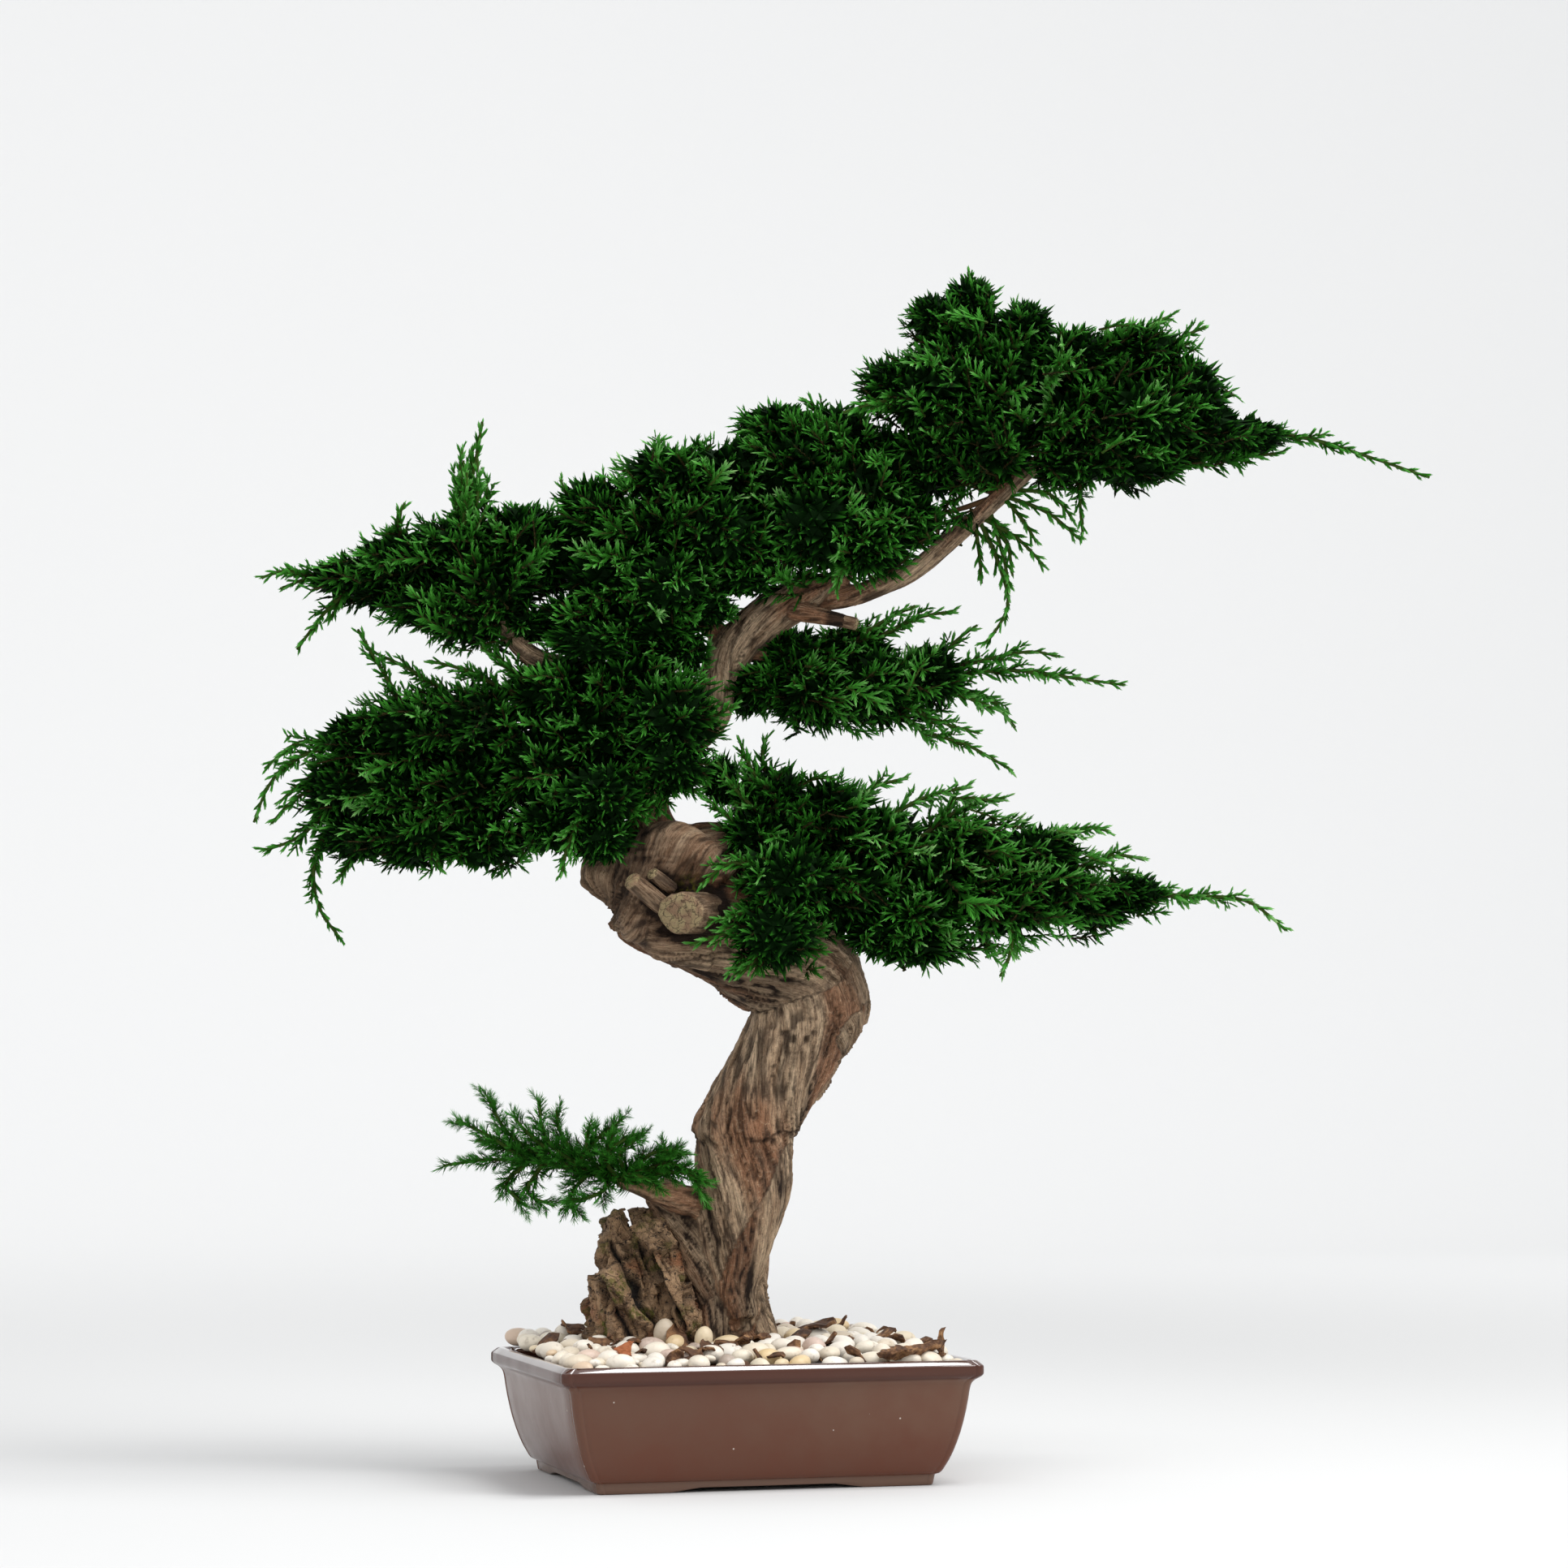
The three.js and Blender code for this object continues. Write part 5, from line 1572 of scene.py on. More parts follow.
@dataclass
class Shoot:
    """A small feather of needles along a twig that runs along +Y, one unit a millimetre."""

    length: float = 10.8
    needles: int = 9
    needle_length: float = 4.4
    half_width: float = 0.74
    angle: float = 0.42  # between needle and twig
    twig: float = 0.8  # its radius

    @staticmethod
    def _sliver(base: Array, along: Array, length: float, half_width: float) -> Array:
        """The four corners of a thin closed spike, its tip last."""
        turn = frames(along[None], np.array([[0.1, 0.2, 1.0]]))[0]
        return np.vstack([NEEDLE_FOOT * half_width, [[0, length, 0]]]) @ turn.T + base

    def build(self, draw: Draw) -> Shape:
        """Sets the needles round the twig.

        Args:
            draw: The source of its unevenness.

        Returns:
            The shoot.
        """
        forward = np.array([0, 1.0, 0])
        points = [self._sliver(-forward, forward, self.length * 0.95, self.twig)]
        tones = [np.full(4, 0.1)]
        for share in np.linspace(0, 1, self.needles):
            turn = len(points) * GOLDEN_ANGLE * 1.37 + draw.normal(0, 0.2)
            angle = (share < 1) * self.angle * (1.15 - 0.45 * share) + draw.normal(0, 0.13)
            out = np.array([math.cos(turn), 0, 0.7 * math.sin(turn)])
            along = math.cos(angle) * forward + math.sin(angle) * out
            length = self.needle_length * (1.1 - 0.35 * share) * draw.uniform(0.85, 1.15)
            base = forward * self.length * (0.02 + 0.72 * share)
            points.append(self._sliver(base, along, length, self.half_width))
            tones.append(np.array([0.16, 0.16, 0.2, 0.42]) + 0.24 * share)
        faces = np.array([[0, 2, 1], [0, 1, 3], [1, 2, 3], [2, 0, 3]])
        count = len(points)
        wood = np.repeat([0.2] + [0.0] * (count - 1), 4)
        return Shape(np.vstack(points), (faces[None] + 4 * np.arange(count)[:, None, None]).reshape(-1, 3),
                     {"tone": np.concatenate(tones), "wood": wood})


SHOOTS = {
    Habit.CLOSE: Shoot(),
    Habit.CORD: Shoot(length=11, needles=16, needle_length=4.6, half_width=1.05, angle=0.46, twig=1.5),
    Habit.OPEN: Shoot(length=13, needles=13, needle_length=7.6, half_width=0.46, angle=0.8, twig=0.6),
}


def woody(shape: Shape, tone: float = 0.1, wood: float = 1.0) -> Shape:
    """A shape with the attributes of a twig, brown by its share of wood."""
    count = len(shape.points)
    return Shape(shape.points, shape.faces, {"tone": np.full(count, tone), "wood": np.full(count, wood)})


@dataclass
class Spray:
    """A plume of shoots, alternate along a twig that runs along +Y, one unit a millimetre."""

    length: float = 37
    shoots: int = 9
    angle: float = 0.6
    droop: float = 4

    def build(self, shoots: list[Shape], draw: Draw) -> Shape:
        """Sets shoots along the twig, longest near its foot.

        Args:
            shoots: Shoots to draw from.
            draw: The source of its unevenness.

        Returns:
            The spray, its tip at the origin.
        """
        share = np.linspace(0.08, 1, self.shoots)
        side = np.where(np.arange(self.shoots) % 2, 1.0, -1.0) * (share < 1)
        angle = self.angle * side * (1.15 - 0.35 * share) + draw.normal(0, 0.27, self.shoots)
        along = np.stack([np.sin(angle), np.cos(angle), draw.normal(0.2, 0.42, self.shoots)], axis=1)
        reach = self.length - SHOOTS[Habit.CLOSE].length
        places = np.stack([0 * share, (share - 1) * reach, -self.droop * share**2], axis=1)
        size = 1.35 - 0.4 * share + draw.normal(0, 0.07, self.shoots)
        up = np.array([[0, 0, 1.0]]) + draw.normal(0, 0.3, (self.shoots, 3))
        turns = frames(along, up) * size[:, None, None]
        tone = 0.12 * (share - 0.6) + draw.normal(0, 0.035, self.shoots)
        one = [slice(k, k + 1) for k in range(self.shoots)]
        parts = [shoots[draw.integers(len(shoots))].copies(turns[k], places[k], tone=tone[k]) for k in one]
        ends = np.array([0, 0.5, 1.0])
        way = np.stack([0 * ends, (ends - 1) * reach, -self.droop * ends**2, 0.9 - 0.4 * ends], axis=1)
        parts.append(woody(tube(way, 3), wood=0.45))
        whole = Shape.join(parts)
        whole.points[:, 1] -= self.length - reach
        return whole


@dataclass
class Bunch:
    """One bunch of foliage: the clumps that its sprays fill and the leaders that run out of it.

    A clump is x, y, z, half width, half depth and half height; a leader is its way from wood to tip.
    """

    node: str
    root: Row | None
    clumps: Rows
    leaders: tuple[Rows, ...]
    habit: Habit = Habit.CLOSE
    feathered: float = 0.62  # share of each leader that carries whole sprays
    tone: float = 0.0  # how much paler it is than the rest


BUNCHES = (
    Bunch("crown_left", (200, 2, 726),
          ((218, 0, 850, 30, 42, 28), (132, -6, 708, 28, 38, 22), (122, -6, 808, 34, 40, 26),
           (150, 6, 860, 26, 34, 24), (192, -4, 764, 50, 58, 38), (146, 4, 752, 38, 50, 38),
           (146, -8, 800, 44, 54, 42), (168, 16, 836, 42, 52, 38), (178, 10, 872, 26, 32, 26),
           (206, 8, 812, 50, 62, 42)),
          (((176, 14, 860), (178, 12, 884), (177, 10, 900)),
           ((140, -18, 794), (108, -34, 790), (82, -36, 782))), tone=-0.04),
    Bunch("crown_right", (236, 0, 757),
          ((298, -20, 750, 52, 46, 28), (386, -8, 768, 36, 32, 18), (352, -12, 772, 42, 46, 26),
           (250, -12, 748, 34, 40, 24), (258, 0, 778, 52, 62, 42), (258, 0, 824, 46, 62, 34),
           (306, -28, 778, 50, 50, 40), (308, 34, 786, 50, 48, 40), (302, 0, 830, 46, 58, 30),
           (337, 0, 800, 40, 56, 40)),
          (((330, -20, 752), (376, -14, 752), (412, -14, 756)),
           ((346, -6, 780), (392, -4, 772), (432, -10, 766), (474, -14, 752), (517, -20, 736)),
           ((322, 8, 838), (344, 12, 850), (357, 14, 856)), ((304, 4, 846), (320, 6, 858), (332, 8, 864)),
           ((262, 0, 762), (258, -14, 726), (260, -18, 692))), tone=-0.03),
    Bunch("middle_right", (92, 4, 706),
          ((18, -6, 700, 36, 48, 42), (34, 4, 776, 40, 44, 24), (6, -16, 664, 36, 38, 22),
           (132, -8, 706, 32, 40, 26), (22, 4, 748, 34, 50, 40), (88, 0, 726, 50, 60, 42),
           (44, 0, 748, 50, 62, 42), (78, 12, 768, 46, 54, 34), (118, 16, 746, 40, 50, 42),
           (60, -26, 700, 50, 46, 38), (102, -8, 690, 42, 50, 34), (58, 42, 706, 46, 38, 36)),
          (((70, 16, 770), (62, 6, 792), (50, 4, 800)), ((100, -16, 690), (82, -26, 666), (76, -28, 648)))),
    Bunch("middle_left", (-46, 8, 666),
          ((-62, -14, 624, 46, 48, 26), (-104, -34, 612, 42, 30, 20), (-104, -6, 714, 34, 44, 30),
           (-118, -8, 632, 38, 46, 24), (-22, -20, 640, 32, 36, 22), (-54, 0, 700, 50, 56, 40),
           (-98, 2, 704, 42, 52, 34), (-46, -4, 738, 48, 56, 32), (-4, 0, 736, 46, 58, 38),
           (-8, -26, 694, 46, 46, 38), (-14, 36, 694, 44, 38, 36), (-90, -6, 660, 50, 58, 40),
           (-46, -34, 654, 42, 38, 32), (-37, -16, 606, 25, 30, 20)),
          (((-56, -24, 728), (-58, -34, 752), (-48, -36, 766)),
           ((-100, -10, 710), (-122, -20, 724), (-128, -22, 736))), tone=0.05),
    Bunch("upper_left_inner", (-170, -13, 630),
          ((-136, 4, 682, 32, 48, 38), (-200, -8, 634, 46, 48, 26), (-180, -4, 654, 50, 58, 40),
           (-160, 4, 696, 44, 54, 30), (-206, 4, 686, 46, 56, 30), (-222, 0, 644, 44, 54, 28),
           (-150, -12, 626, 26, 30, 18)),
          (((-196, 4, 690), (-195, 4, 734), (-191, 2, 758), (-187, 0, 781)),
           ((-204, -6, 690), (-203, -10, 716), (-200, -12, 750)),
           ((-190, 2, 694), (-185, 6, 716), (-184, 8, 744)),
           ((-198, 4, 696), (-197, 8, 730), (-195, 10, 766)))),
    Bunch("upper_left_outer", (-204, 0, 688),
          ((-250, 0, 676, 42, 54, 28), (-262, 10, 658, 40, 46, 24), (-288, 0, 664, 36, 42, 20)),
          (((-286, 0, 664), (-312, -2, 664), (-338, -6, 654)),
           ((-280, -4, 660), (-302, -14, 636), (-322, -18, 608)),
           ((-246, -12, 682), (-246, -26, 706), (-242, -28, 716)),
           ((-206, -6, 690), (-205, -8, 722), (-201, -8, 764)),
           ((-192, -6, 690), (-190, -8, 722), (-190, -8, 752)),
           ((-200, -14, 696), (-198, -18, 716), (-197, -18, 740)),
           ((-298, -4, 660), (-330, -6, 668), (-352, -8, 662)))),
    Bunch("lower_left_inner", (-90, -4, 528),
          ((-132, -26, 478, 42, 42, 28), (-96, -44, 468, 32, 32, 26), (-104, -8, 544, 50, 58, 44),
           (-46, -34, 554, 46, 44, 42), (-72, -10, 582, 48, 58, 36), (-130, -4, 576, 48, 60, 38),
           (-146, -14, 520, 48, 56, 42), (-94, -50, 498, 42, 36, 30), (-42, -46, 520, 34, 30, 30),
           (-86, 44, 548, 42, 42, 38)),
          (((-38, -44, 552), (-14, -48, 556), (6, -50, 566)),
           ((-104, -56, 492), (-118, -62, 462), (-124, -64, 436)))),
    Bunch("lower_left_outer", (-142, 34, 544),
          ((-230, -12, 468, 48, 46, 28), (-276, -8, 470, 36, 42, 24), (-182, -18, 466, 44, 46, 26),
           (-192, -4, 550, 50, 58, 44), (-194, -6, 506, 48, 58, 40), (-238, -6, 546, 46, 56, 40),
           (-244, -4, 504, 46, 54, 40), (-276, 0, 542, 38, 48, 30), (-290, 0, 504, 38, 44, 34)),
          (((-276, 0, 544), (-322, -10, 528), (-342, -14, 508), (-353, -16, 480)),
           ((-290, -2, 500), (-320, -10, 470), (-350, -14, 458)),
           ((-286, 0, 500), (-308, -6, 456), (-306, -10, 420), (-286, -12, 390)),
           ((-236, -18, 556), (-262, -26, 598), (-276, -28, 622)),
           ((-196, -10, 566), (-236, -16, 592), (-270, -20, 608)),
           ((-160, -14, 574), (-196, -18, 592), (-226, -20, 600)),
           ((-150, -16, 580), (-168, -20, 598), (-186, -22, 610)),
           ((-276, 0, 536), (-316, -8, 512), (-338, -12, 492)),
           ((-256, -10, 484), (-280, -14, 454), (-292, -14, 436)),
           ((-276, 0, 540), (-320, -8, 540), (-346, -12, 520)),
           ((-276, 0, 520), (-320, -10, 500), (-342, -12, 478)),
           ((-280, 2, 500), (-302, 0, 470), (-312, 0, 446)),
           ((-206, -30, 500), (-218, -34, 460), (-212, -36, 442))), tone=-0.03),
    Bunch("under_limb", (48, 27, 596),
          ((12, 32, 584, 34, 36, 26), (44, 34, 610, 40, 40, 24), (88, 34, 612, 40, 42, 26),
           (64, 28, 582, 46, 48, 34), (108, 32, 584, 46, 50, 38), (148, 26, 592, 36, 44, 30),
           (30, 36, 587, 34, 38, 24)),
          (((146, 24, 592), (210, 18, 596), (254, 14, 590), (295, 10, 584)),
           ((146, 26, 590), (192, 30, 576), (212, 30, 554)),
           ((106, 30, 582), (140, 18, 552), (174, 12, 540), (209, 10, 520)),
           ((120, 20, 574), (158, 14, 556), (186, 12, 548)), ((100, 16, 616), (136, 10, 634), (168, 8, 640)),
           ((84, 14, 612), (112, 8, 632), (138, 6, 644)),
           ((146, 24, 592), (188, 20, 604), (222, 16, 610), (244, 14, 606)),
           ((146, 20, 586), (184, 14, 572), (206, 12, 562)),
           ((146, 28, 596), (168, 34, 620), (184, 36, 632))), tone=0.05),
    Bunch("hanging_sprays", None, (),
          (((184, 2, 707), (196, -2, 680), (205, -6, 646), (196, -8, 624), (184, -10, 610)),
           ((181, 2, 704), (184, 4, 684), (186, 6, 660)), ((186, 2, 709), (212, -8, 692), (233, -14, 669)),
           ((190, 2, 712), (204, -4, 690), (208, -10, 664)), ((192, 2, 714), (202, -6, 676), (206, -12, 650)),
           ((201, 2, 726), (234, -6, 712), (259, -12, 690)), ((201, 2, 726), (216, -6, 706), (228, -8, 686)),
           ((205, 2, 730), (236, -4, 726), (254, -8, 706))), feathered=0.0),
    Bunch("lower_right_inner", (30, 12, 456),
          ((18, -8, 470, 34, 40, 28), (48, 8, 466, 48, 54, 40), (28, 14, 500, 36, 46, 32),
           (74, 0, 486, 42, 54, 34), (40, -44, 436, 44, 40, 40), (86, -10, 424, 46, 60, 40),
           (114, 4, 464, 42, 54, 34), (34, -56, 396, 40, 30, 34), (-10, -4, 512, 18, 24, 24)),
          (((34, -52, 412), (4, -58, 400), (-30, -60, 388)),
           ((40, -50, 420), (10, -58, 412), (-20, -60, 404)),
           ((36, -54, 396), (14, -60, 378), (-6, -62, 366)), ((30, -10, 480), (6, -20, 500), (-12, -22, 526)),
           ((24, -8, 468), (0, -22, 482), (-22, -26, 500)), ((34, -8, 492), (14, -18, 520), (4, -22, 544)),
           ((30, 18, 500), (22, 12, 530), (26, 10, 548)), ((34, -50, 440), (0, -56, 448), (-24, -58, 430)),
           ((30, -56, 396), (16, -62, 376), (2, -62, 362))), tone=0.04),
    Bunch("lower_right_outer", (114, 4, 464),
          ((226, 0, 458, 44, 48, 26), (138, -14, 392, 50, 46, 24), (108, -18, 398, 34, 40, 24),
           (158, 0, 436, 48, 58, 40), (138, -20, 410, 40, 50, 32), (202, 0, 422, 46, 60, 36),
           (176, 0, 464, 40, 50, 28), (236, 0, 432, 42, 52, 30), (266, 4, 418, 38, 44, 24),
           (296, 0, 428, 32, 36, 20)),
          (((294, 0, 428), (342, -6, 426), (380, -12, 422), (410, -18, 399)),
           ((158, 0, 456), (162, -8, 496), (200, -14, 496)),
           ((110, -6, 480), (140, -10, 498), (178, -12, 508)),
           ((206, -6, 452), (232, -10, 470), (256, -12, 474)),
           ((140, -6, 470), (172, -8, 492), (206, -10, 500)),
           ((84, -4, 488), (104, -10, 506), (132, -12, 514)),
           ((252, 0, 446), (284, -8, 456), (308, -10, 452)),
           ((230, -4, 460), (258, -8, 476), (280, -10, 474)),
           ((206, -28, 416), (204, -36, 384), (196, -40, 366))), tone=0.14),
    Bunch("low_branch", None, (),
          (((-140, -6, 228), (-150, -14, 208), (-128, -20, 198)),
           ((-116, -8, 224), (-100, -20, 246), (-80, -24, 262)),
           ((-134, -6, 228), (-160, 8, 240), (-190, 12, 246)),
           ((-76, -12, 214), (-54, -22, 226), (-48, -30, 246)),
           ((-66, -11, 212), (-124, -6, 226), (-172, -2, 232), (-215, 2, 227)),
           ((-126, -6, 226), (-164, -2, 250), (-184, 0, 284)),
           ((-96, -9, 219), (-134, -14, 244), (-143, -18, 279)),
           ((-150, -4, 230), (-176, -14, 248), (-204, -18, 262)),
           ((-104, -9, 222), (-126, -4, 250), (-130, -2, 270)),
           ((-120, -8, 226), (-150, -18, 252), (-162, -20, 266)),
           ((-70, -12, 213), (-82, -26, 236), (-62, -34, 252)),
           ((-92, -12, 217), (-106, -20, 240), (-104, -26, 258)),
           ((-60, -14, 213), (-42, -34, 236), (-34, -40, 236)),
           ((-84, -11, 215), (-74, -30, 222), (-50, -38, 214)),
           ((-82, -11, 215), (-92, -26, 236), (-66, -34, 254)),
           ((-86, -11, 215), (-90, -14, 240), (-84, -16, 256)),
           ((-80, -11, 215), (-46, -34, 230), (-14, -42, 214)),
           ((-60, -22, 222), (-30, -40, 222), (-20, -44, 202)),
           ((-106, -8, 222), (-118, -22, 206), (-112, -30, 190)),
           ((-150, -4, 230), (-166, -14, 214), (-148, -20, 196)),
           ((-92, -10, 218), (-96, -26, 208), (-124, -32, 200)),
           ((-76, -12, 214), (-60, -30, 236), (-34, -36, 240)),
           ((-112, -6, 223), (-122, 24, 236), (-140, 42, 244)),
           ((-96, -8, 220), (-90, 20, 232), (-92, 36, 244))), Habit.OPEN, 0.85, tone=-0.12),
)

@dataclass
class Foliage:
    """Grows every bunch from sprays of needles."""

    seed: int = 11
    variants: int = 6
    spacing: float = 18  # between two sprays on a clump's surface
    inner_share: float = 0.16  # of the sprays that fill the depths
    # the clump's dark heart is painted shade deep in the foliage
    core: float = 0.6  # size of a clump's dark heart
    leader_step: float = 4.6  # between two shoots on a leader
    plume_step: float = 11  # between two sprays on a leader
    open_plume_step: float = 8.5  # and where the needles stand open

    def __post_init__(self) -> None:
        """Makes the shoots and sprays that all bunches draw from."""
        draw = np.random.default_rng(self.seed)
        self.shoots = {habit: [shoot.build(draw) for _ in range(self.variants)]
                       for habit, shoot in SHOOTS.items()}
        self.sprays = {habit: [Spray().build(self.shoots[habit], draw) for _ in range(self.variants)]
                       for habit in Habit}

    @staticmethod
    def _depth(clump: Row, points: Array) -> Array:
        """How far points lie from a clump's middle, 1 being its surface."""
        return np.linalg.norm((points - clump[:3]) / clump[3:], axis=1)

    @staticmethod
    def _scatter(kinds: list[Shape], turns: Array, places: Array, tone: Array, draw: Draw) -> list[Shape]:
        """Sets one of several kinds, drawn at random, at each place."""
        pick = draw.integers(len(kinds), size=len(places))
        return [kind.copies(turns[pick == k], places[pick == k], tone=tone[pick == k])
                for k, kind in enumerate(kinds) if (pick == k).any()]

    def _clump_sprays(self, bunch: Bunch, clump: Row, others: Rows, draw: Draw) -> list[Shape]:
        """Sprays laid over one clump's open surface, and under them ones darkened as painted shade.

        Args:
            bunch: The bunch that the clump is in.
            clump: The clump.
            others: Every other clump of the tree.
            draw: The source of their unevenness.

        Returns:
            The sprays.
        """
        middle, half = np.array(clump[:3]), np.array(clump[3:])
        count = int(4 * math.pi * float(np.prod(half)) ** (2 / 3) / self.spacing**2)
        index = np.arange(count) + 0.5
        height = 1 - 2 * index / count
        angle = GOLDEN_ANGLE * index + draw.uniform(0, 6)
        girth = np.sqrt(1 - height**2)
        ways = np.stack([girth * np.cos(angle), girth * np.sin(angle), height], 1)
        ways = unit(ways + draw.normal(0, 0.12, ways.shape))
        inner = draw.random(count) < self.inner_share
        reach = np.where(inner, draw.uniform(0.62, 0.88, count), draw.uniform(0.9, 1.2, count))
        tips = middle + ways * half * reach[:, None]
        free = np.ones(count, bool)
        for other in others:
            free &= self._depth(other, tips) > 0.84
        ways, tips, inner = ways[free], tips[free], inner[free]
        count = len(tips)
        outward = unit(ways / half)
        rise = 14 * np.clip(outward[:, 2:] + 0.5, -0.4, 1) * (0, 0, 1)
        away = unit((tips - np.array(bunch.root)) * (1, 1, 0.3) + rise)
        along = outward * draw.uniform(0.05, 0.62, (count, 1)) + away * 0.9 + draw.normal(0, 0.28, (count, 3))
        face = outward + draw.normal(0, 0.4, (count, 3)) + (0, 0, 0.3)
        turns = frames(along, face) * draw.uniform(0.75, 1.15, (count, 1, 1))
        # painted light and shade: sprays that face up are paler and the inner ones darker; the noise adds
        # tone that differs at random
        light = 0.14 * outward[:, 2] + draw.normal(0, 0.09, count) - 0.14 * inner + bunch.tone
        light += 0.5 * (noise(tips / 38, 21) - 0.5)
        return self._scatter(self.sprays[bunch.habit], turns, tips, light, draw)

    def _shade_heart(self, clump: Row, draw: Draw) -> Shape:
        """The dark heart of a clump, painted shade deep inside it: a ball with a spike on every face.

        Args:
            clump: The clump.
            draw: The source of its unevenness.

        Returns:
            The heart.
        """
        ball = start_from(bpy.ops.mesh.primitive_ico_sphere_add, "heart", subdivisions=3, radius=1)
        face_count = len(ball.data.polygons)
        bpy.ops.object.mode_set(mode="EDIT")
        bpy.ops.mesh.poke()
        bpy.ops.object.mode_set(mode="OBJECT")
        heart = shape_of(ball)
        points = heart.points * (0.85 + 0.2 * draw.random((len(heart.points), 1)))
        spikes = np.arange(len(points)) >= len(points) - face_count
        stretched = points[spikes] * draw.uniform(1.1, 1.6, (face_count, 1))
        points[spikes] = stretched + draw.normal(0, 0.14, (face_count, 3))
        return Shape(points * self.core * np.array(clump[3:]) + np.array(clump[:3]), heart.faces,
                     {"tone": np.where(spikes, 0.42, 0.05), "wood": np.zeros(len(points))})

    @staticmethod
    def _twig(start: Row, end: Row, thick: float) -> Shape:
        """A brown twig that sags a little on its way."""
        sag = (np.array(start) + np.array(end)) / 2 - (0, 0, 3)
        return woody(tube(smooth_way(((*start, thick), (*sag, thick * 0.75), (*end, thick * 0.5)), 12), 5))

    def _leader(self, way: Rows, bunch: Bunch, draw: Draw) -> list[Shape]:
        """A twig that runs out of the bunch, with sprays near its foot and shoots to its tip.

        Args:
            way: From wood to tip.
            bunch: The bunch that it is in.
            draw: The source of its unevenness.

        Returns:
            The twig and what it carries.
        """
        path = smooth_way(way, 2.0)
        run = run_along(path[:, :3])
        shapes = [woody(tube(np.column_stack([path, np.linspace(1.9, 1.0, len(path))])[::4], 5), 0.2, 0.3)]
        is_open = bunch.habit is Habit.OPEN
        habit = Habit.OPEN if is_open else Habit.CORD
        sprays, shoots = self.sprays[habit], self.shoots[habit]
        plumes = np.arange(4, run[-1] * bunch.feathered, self.open_plume_step if is_open else self.plume_step)
        singles = np.arange(self.leader_step, run[-1] - 4, self.leader_step)
        for kinds, spots, spread, scale in ((sprays, plumes, 0.5, 0.6), (shoots, singles, 0.62, 1.05)):
            if not len(spots):
                continue
            share = spots / run[-1]
            places, ahead = (np.stack([np.interp(at, run, path[:, k]) for k in range(3)], 1)
                             for at in (spots, spots + 3))
            heading = unit(ahead - places)
            turn = np.arange(len(spots)) * GOLDEN_ANGLE + draw.uniform(0, 6)
            side = unit(np.cross(heading, [0, 0.35, 1.0]))
            out = side * np.cos(turn)[:, None] + np.cross(side, heading) * np.sin(turn)[:, None]
            along = unit(heading + out * (spread * (1.1 - 0.35 * share))[:, None])
            size = scale * (1.15 - 0.35 * share) * draw.uniform(0.85, 1.15, len(spots))
            tone = 0.12 * share + draw.normal(0, 0.05, len(spots)) + bunch.tone
            if kinds is sprays:
                places = places + along * (Spray.length * size)[:, None]
            turns = frames(along, out + (0, 0, 0.5)) * size[:, None, None]
            shapes += self._scatter(kinds, turns, places, tone, draw)
        last = path[-1:] - path[-4:-3]
        tip_turn = frames(last, np.array([[0.2, 0, 1.0]]))
        shapes.append(shoots[0].copies(tip_turn, path[-1:] - last * 2, tone=np.array([0.15])))
        return shapes

    def _paint_depth_shade(self, whole: Shape, clumps: Rows) -> None:
        """Paints shade over what lies deep in the clumps."""
        depth = np.min([self._depth(clump, whole.points) for clump in clumps], axis=0)
        # painted shade deep in the clumps
        whole.values["tone"] -= 0.34 * (1 - smoothstep(0.5, 1.05, depth))

    def build(self, bunch: Bunch) -> Object:
        """Grows one bunch.

        Args:
            bunch: The bunch.

        Returns:
            The finished bunch.
        """
        draw = np.random.default_rng(self.seed + BUNCHES.index(bunch))
        shapes = []
        for clump in bunch.clumps:
            others = tuple(other for each in BUNCHES for other in each.clumps if other is not clump)
            shapes += self._clump_sprays(bunch, clump, others, draw)
            shapes.append(self._shade_heart(clump, draw))
            shapes.append(self._twig(bunch.root, clump[:3], 2.6))
        for way in bunch.leaders:
            shapes += self._leader(way, bunch, draw)
        whole = Shape.join(shapes)
        if bunch.clumps:
            self._paint_depth_shade(whole, bunch.clumps)
        whole.points = from_tree(whole.points)
        return whole.to_object(f"{bunch.node}_needles")


# ----------------------------------------
# Studio
# ----------------------------------------

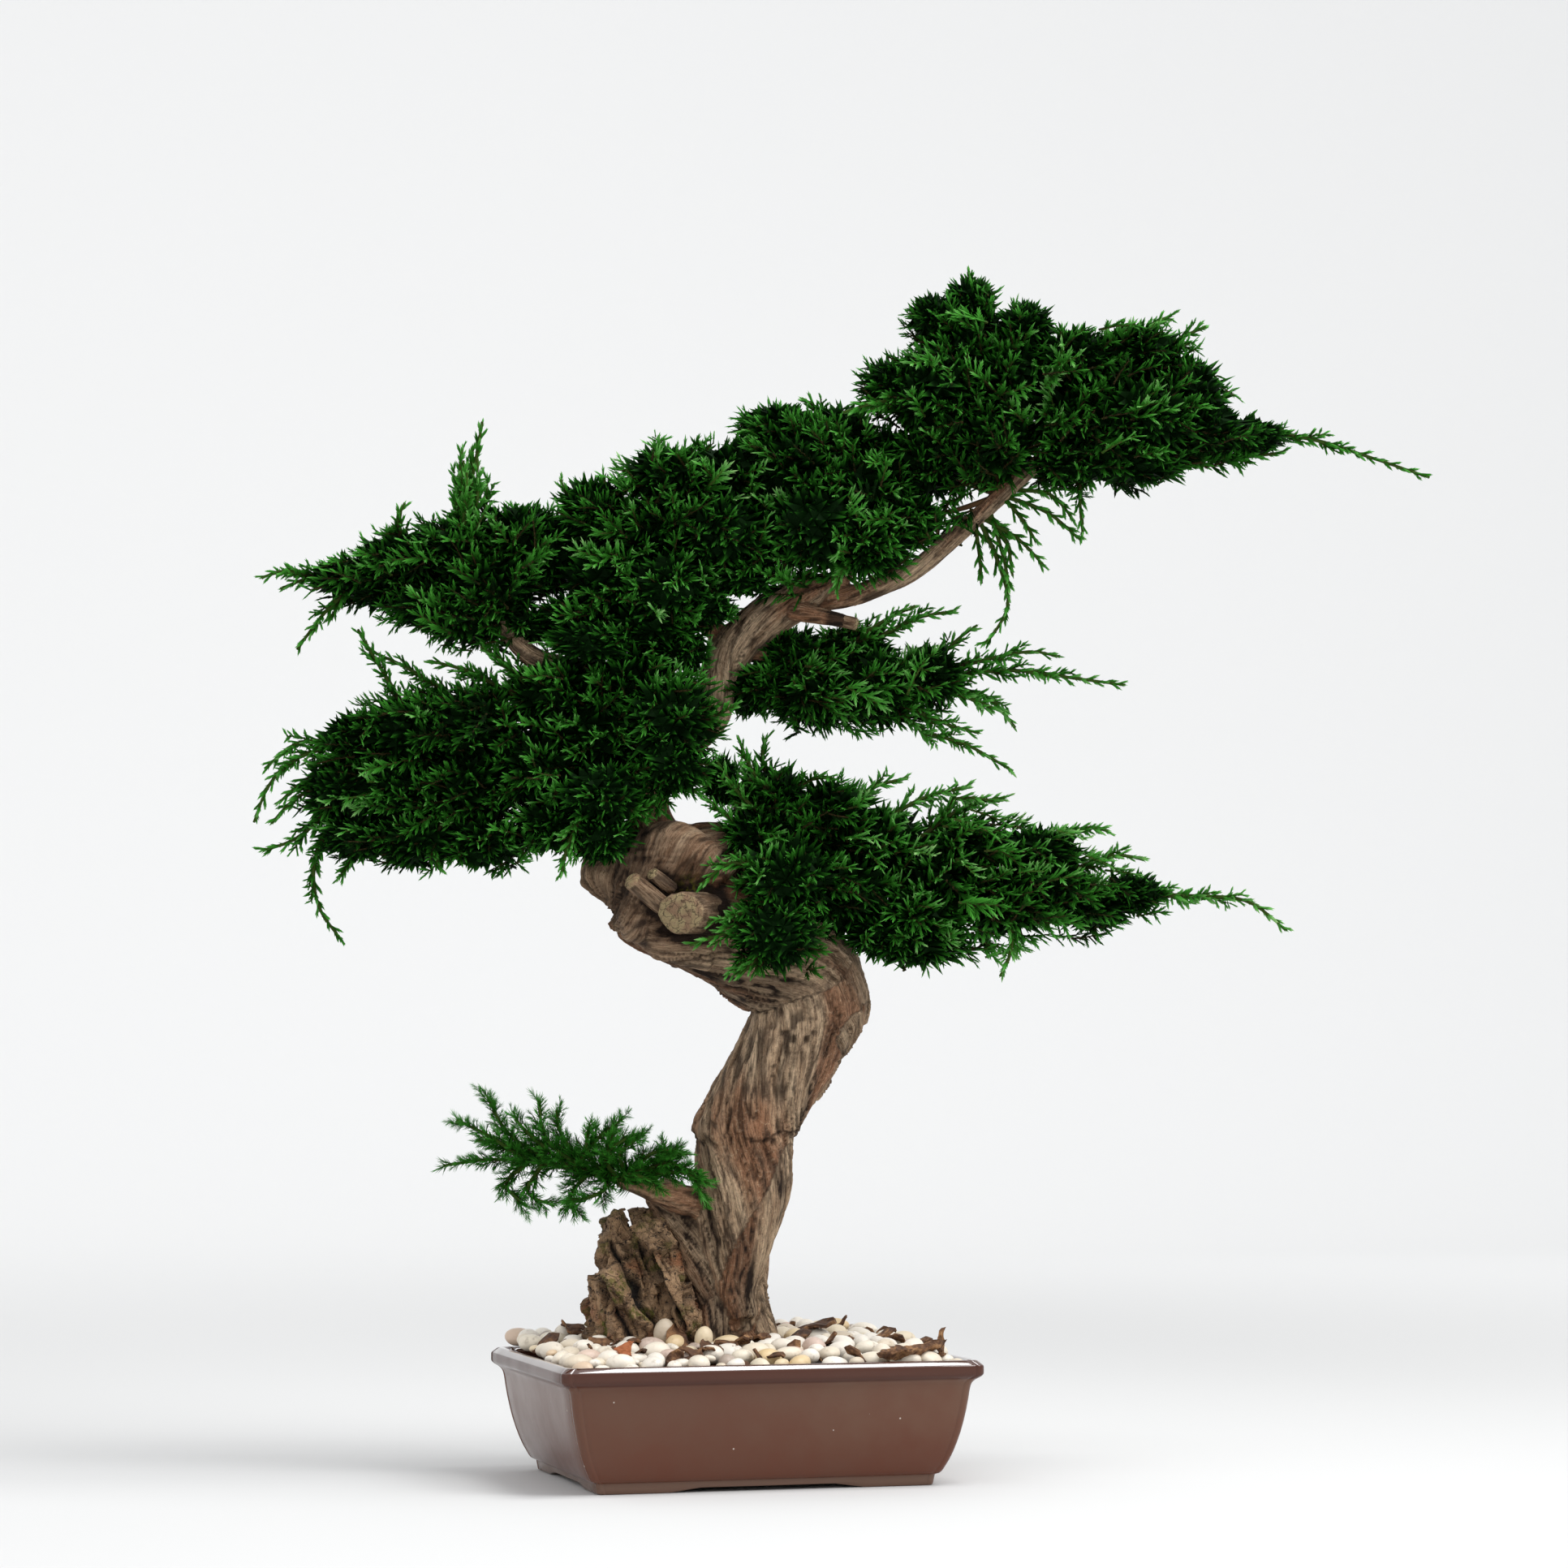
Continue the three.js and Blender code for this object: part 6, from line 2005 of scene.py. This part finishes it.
@dataclass
class Studio:
    """A pale paper sweep, soft lights and the camera."""

    focal_pixels: float = 5000
    frame_pixels: float = 1932
    sensor: float = 36
    eye: Row = (0.0383, -3.0063, 0.302)  # from the pot's middle, in the tree's frame
    pitch: float = 3.95
    yaw: float = -16.32
    bend_steps: int = 12  # of the paper's curve into the backdrop
    bend_step: float = 0.14

    def sweep(self) -> Object:
        """Lays the floor, which curves up into a backdrop.

        Returns:
            The paper.
        """
        paper = start_from(bpy.ops.mesh.primitive_plane_add, "paper_sweep", size=1)
        move_points(paper, np.array([[-6, -4, 0], [6, -4, 0], [-6, 3.2, 0], [6, 3.2, 0]]) - (0, 0, 0.0003))
        bpy.ops.object.mode_set(mode="EDIT")
        mesh = bmesh.from_edit_mesh(paper.data)
        for edge in mesh.edges:
            edge.select_set(all(vertex.co.y > 3 for vertex in edge.verts))
        bmesh.update_edit_mesh(paper.data)
        for k in range(self.bend_steps):
            angle = (k + 0.5) / self.bend_steps * math.pi / 2
            step = (0, self.bend_step * math.cos(angle), self.bend_step * math.sin(angle))
            bpy.ops.mesh.extrude_edges_move(TRANSFORM_OT_translate={"value": step})
        bpy.ops.mesh.extrude_edges_move(TRANSFORM_OT_translate={"value": (0, 0, 4)})
        bpy.ops.object.mode_set(mode="OBJECT")
        shade(paper)
        return paper

    def lights(self) -> None:
        """Sets up a broad key from the upper right, a weak fill, one from above and a bright room."""
        for name, place, size, power in (
                ("key", (2.2, -2.2, 2.86), (1.6, 1.6), 58), ("fill", (-2.2, -1.4, 1.2), (2.0, 2.0), 5),
                ("top", (0.68, -0.5, 2.5), (1.2, 0.9), 36)):
            light = bpy.data.lights.new(name, "AREA")
            light.shape = "RECTANGLE"
            light.energy = power
            light.size, light.size_y = size
            lamp = bpy.data.objects.new(name, light)
            bpy.context.scene.collection.objects.link(lamp)
            lamp.location = place
            lamp.rotation_euler = (Vector((0, 0, 0.4)) - Vector(place)).to_track_quat("-Z", "Y").to_euler()
        world = bpy.data.worlds.new("room")
        bpy.context.scene.world = world
        world.use_nodes = True
        graph = Graph(world.node_tree)
        sky = graph.add("ShaderNodeBackground", {"Color": (0.97, 0.98, 1.0), "Strength": 0.85})
        graph.add("ShaderNodeOutputWorld", {"Surface": sky.outputs[0]})
        bpy.context.scene.view_settings.view_transform = "Standard"

    def camera(self) -> None:
        """Sets up the camera, in front and a little to the left of the pot."""
        data = bpy.data.cameras.new("view")
        data.sensor_width = self.sensor
        data.lens = self.sensor * self.focal_pixels / self.frame_pixels
        data.clip_end = 50
        camera = bpy.data.objects.new("view", data)
        bpy.context.scene.collection.objects.link(camera)
        camera.matrix_world = (
            Matrix.Translation(Vector(POT_MIDDLE)) @ Matrix.Rotation(math.radians(self.yaw), 4, "Z")
            @ Matrix.Translation(Vector(self.eye)) @ Matrix.Rotation(math.radians(90 + self.pitch), 4, "X"))
        bpy.context.scene.camera = camera


def main() -> None:
    """Builds and dresses every piece, and sets up the studio."""
    logging.basicConfig(level=logging.INFO, format="%(name)s: %(message)s")
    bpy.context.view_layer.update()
    studio = Studio()
    studio.camera()
    studio.lights()
    palette = Palette()

    paper = studio.sweep()
    palette.dress(paper, PaleSweep())

    palette.seat(Pot().build(), BrownGlaze(), "pot")
    palette.dress(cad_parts["soil"], DampSoil())

    dressing = Dressing()
    palette.seat(dressing.build(), WashedPebble(), "pebbles")
    palette.seat(dressing.build_chips(), DryBark())
    litter = Litter()
    for node in litter.nodes:
        palette.seat(litter.build(node), DryBark(), node)
    rocks = Rocks()
    for node in rocks.fills:
        palette.seat(rocks.build(node), MossyRock(), node)

    palette.seat(Trunk().build(), FibrousBark(), "trunk")
    for cut in CUT_LIMBS:
        palette.seat(cut.build(), FibrousBark())

    foliage = Foliage()
    for bunch in BUNCHES:
        palette.seat(foliage.build(bunch), JuniperGreen(), bunch.node)


if __name__ == "__main__":
    main()
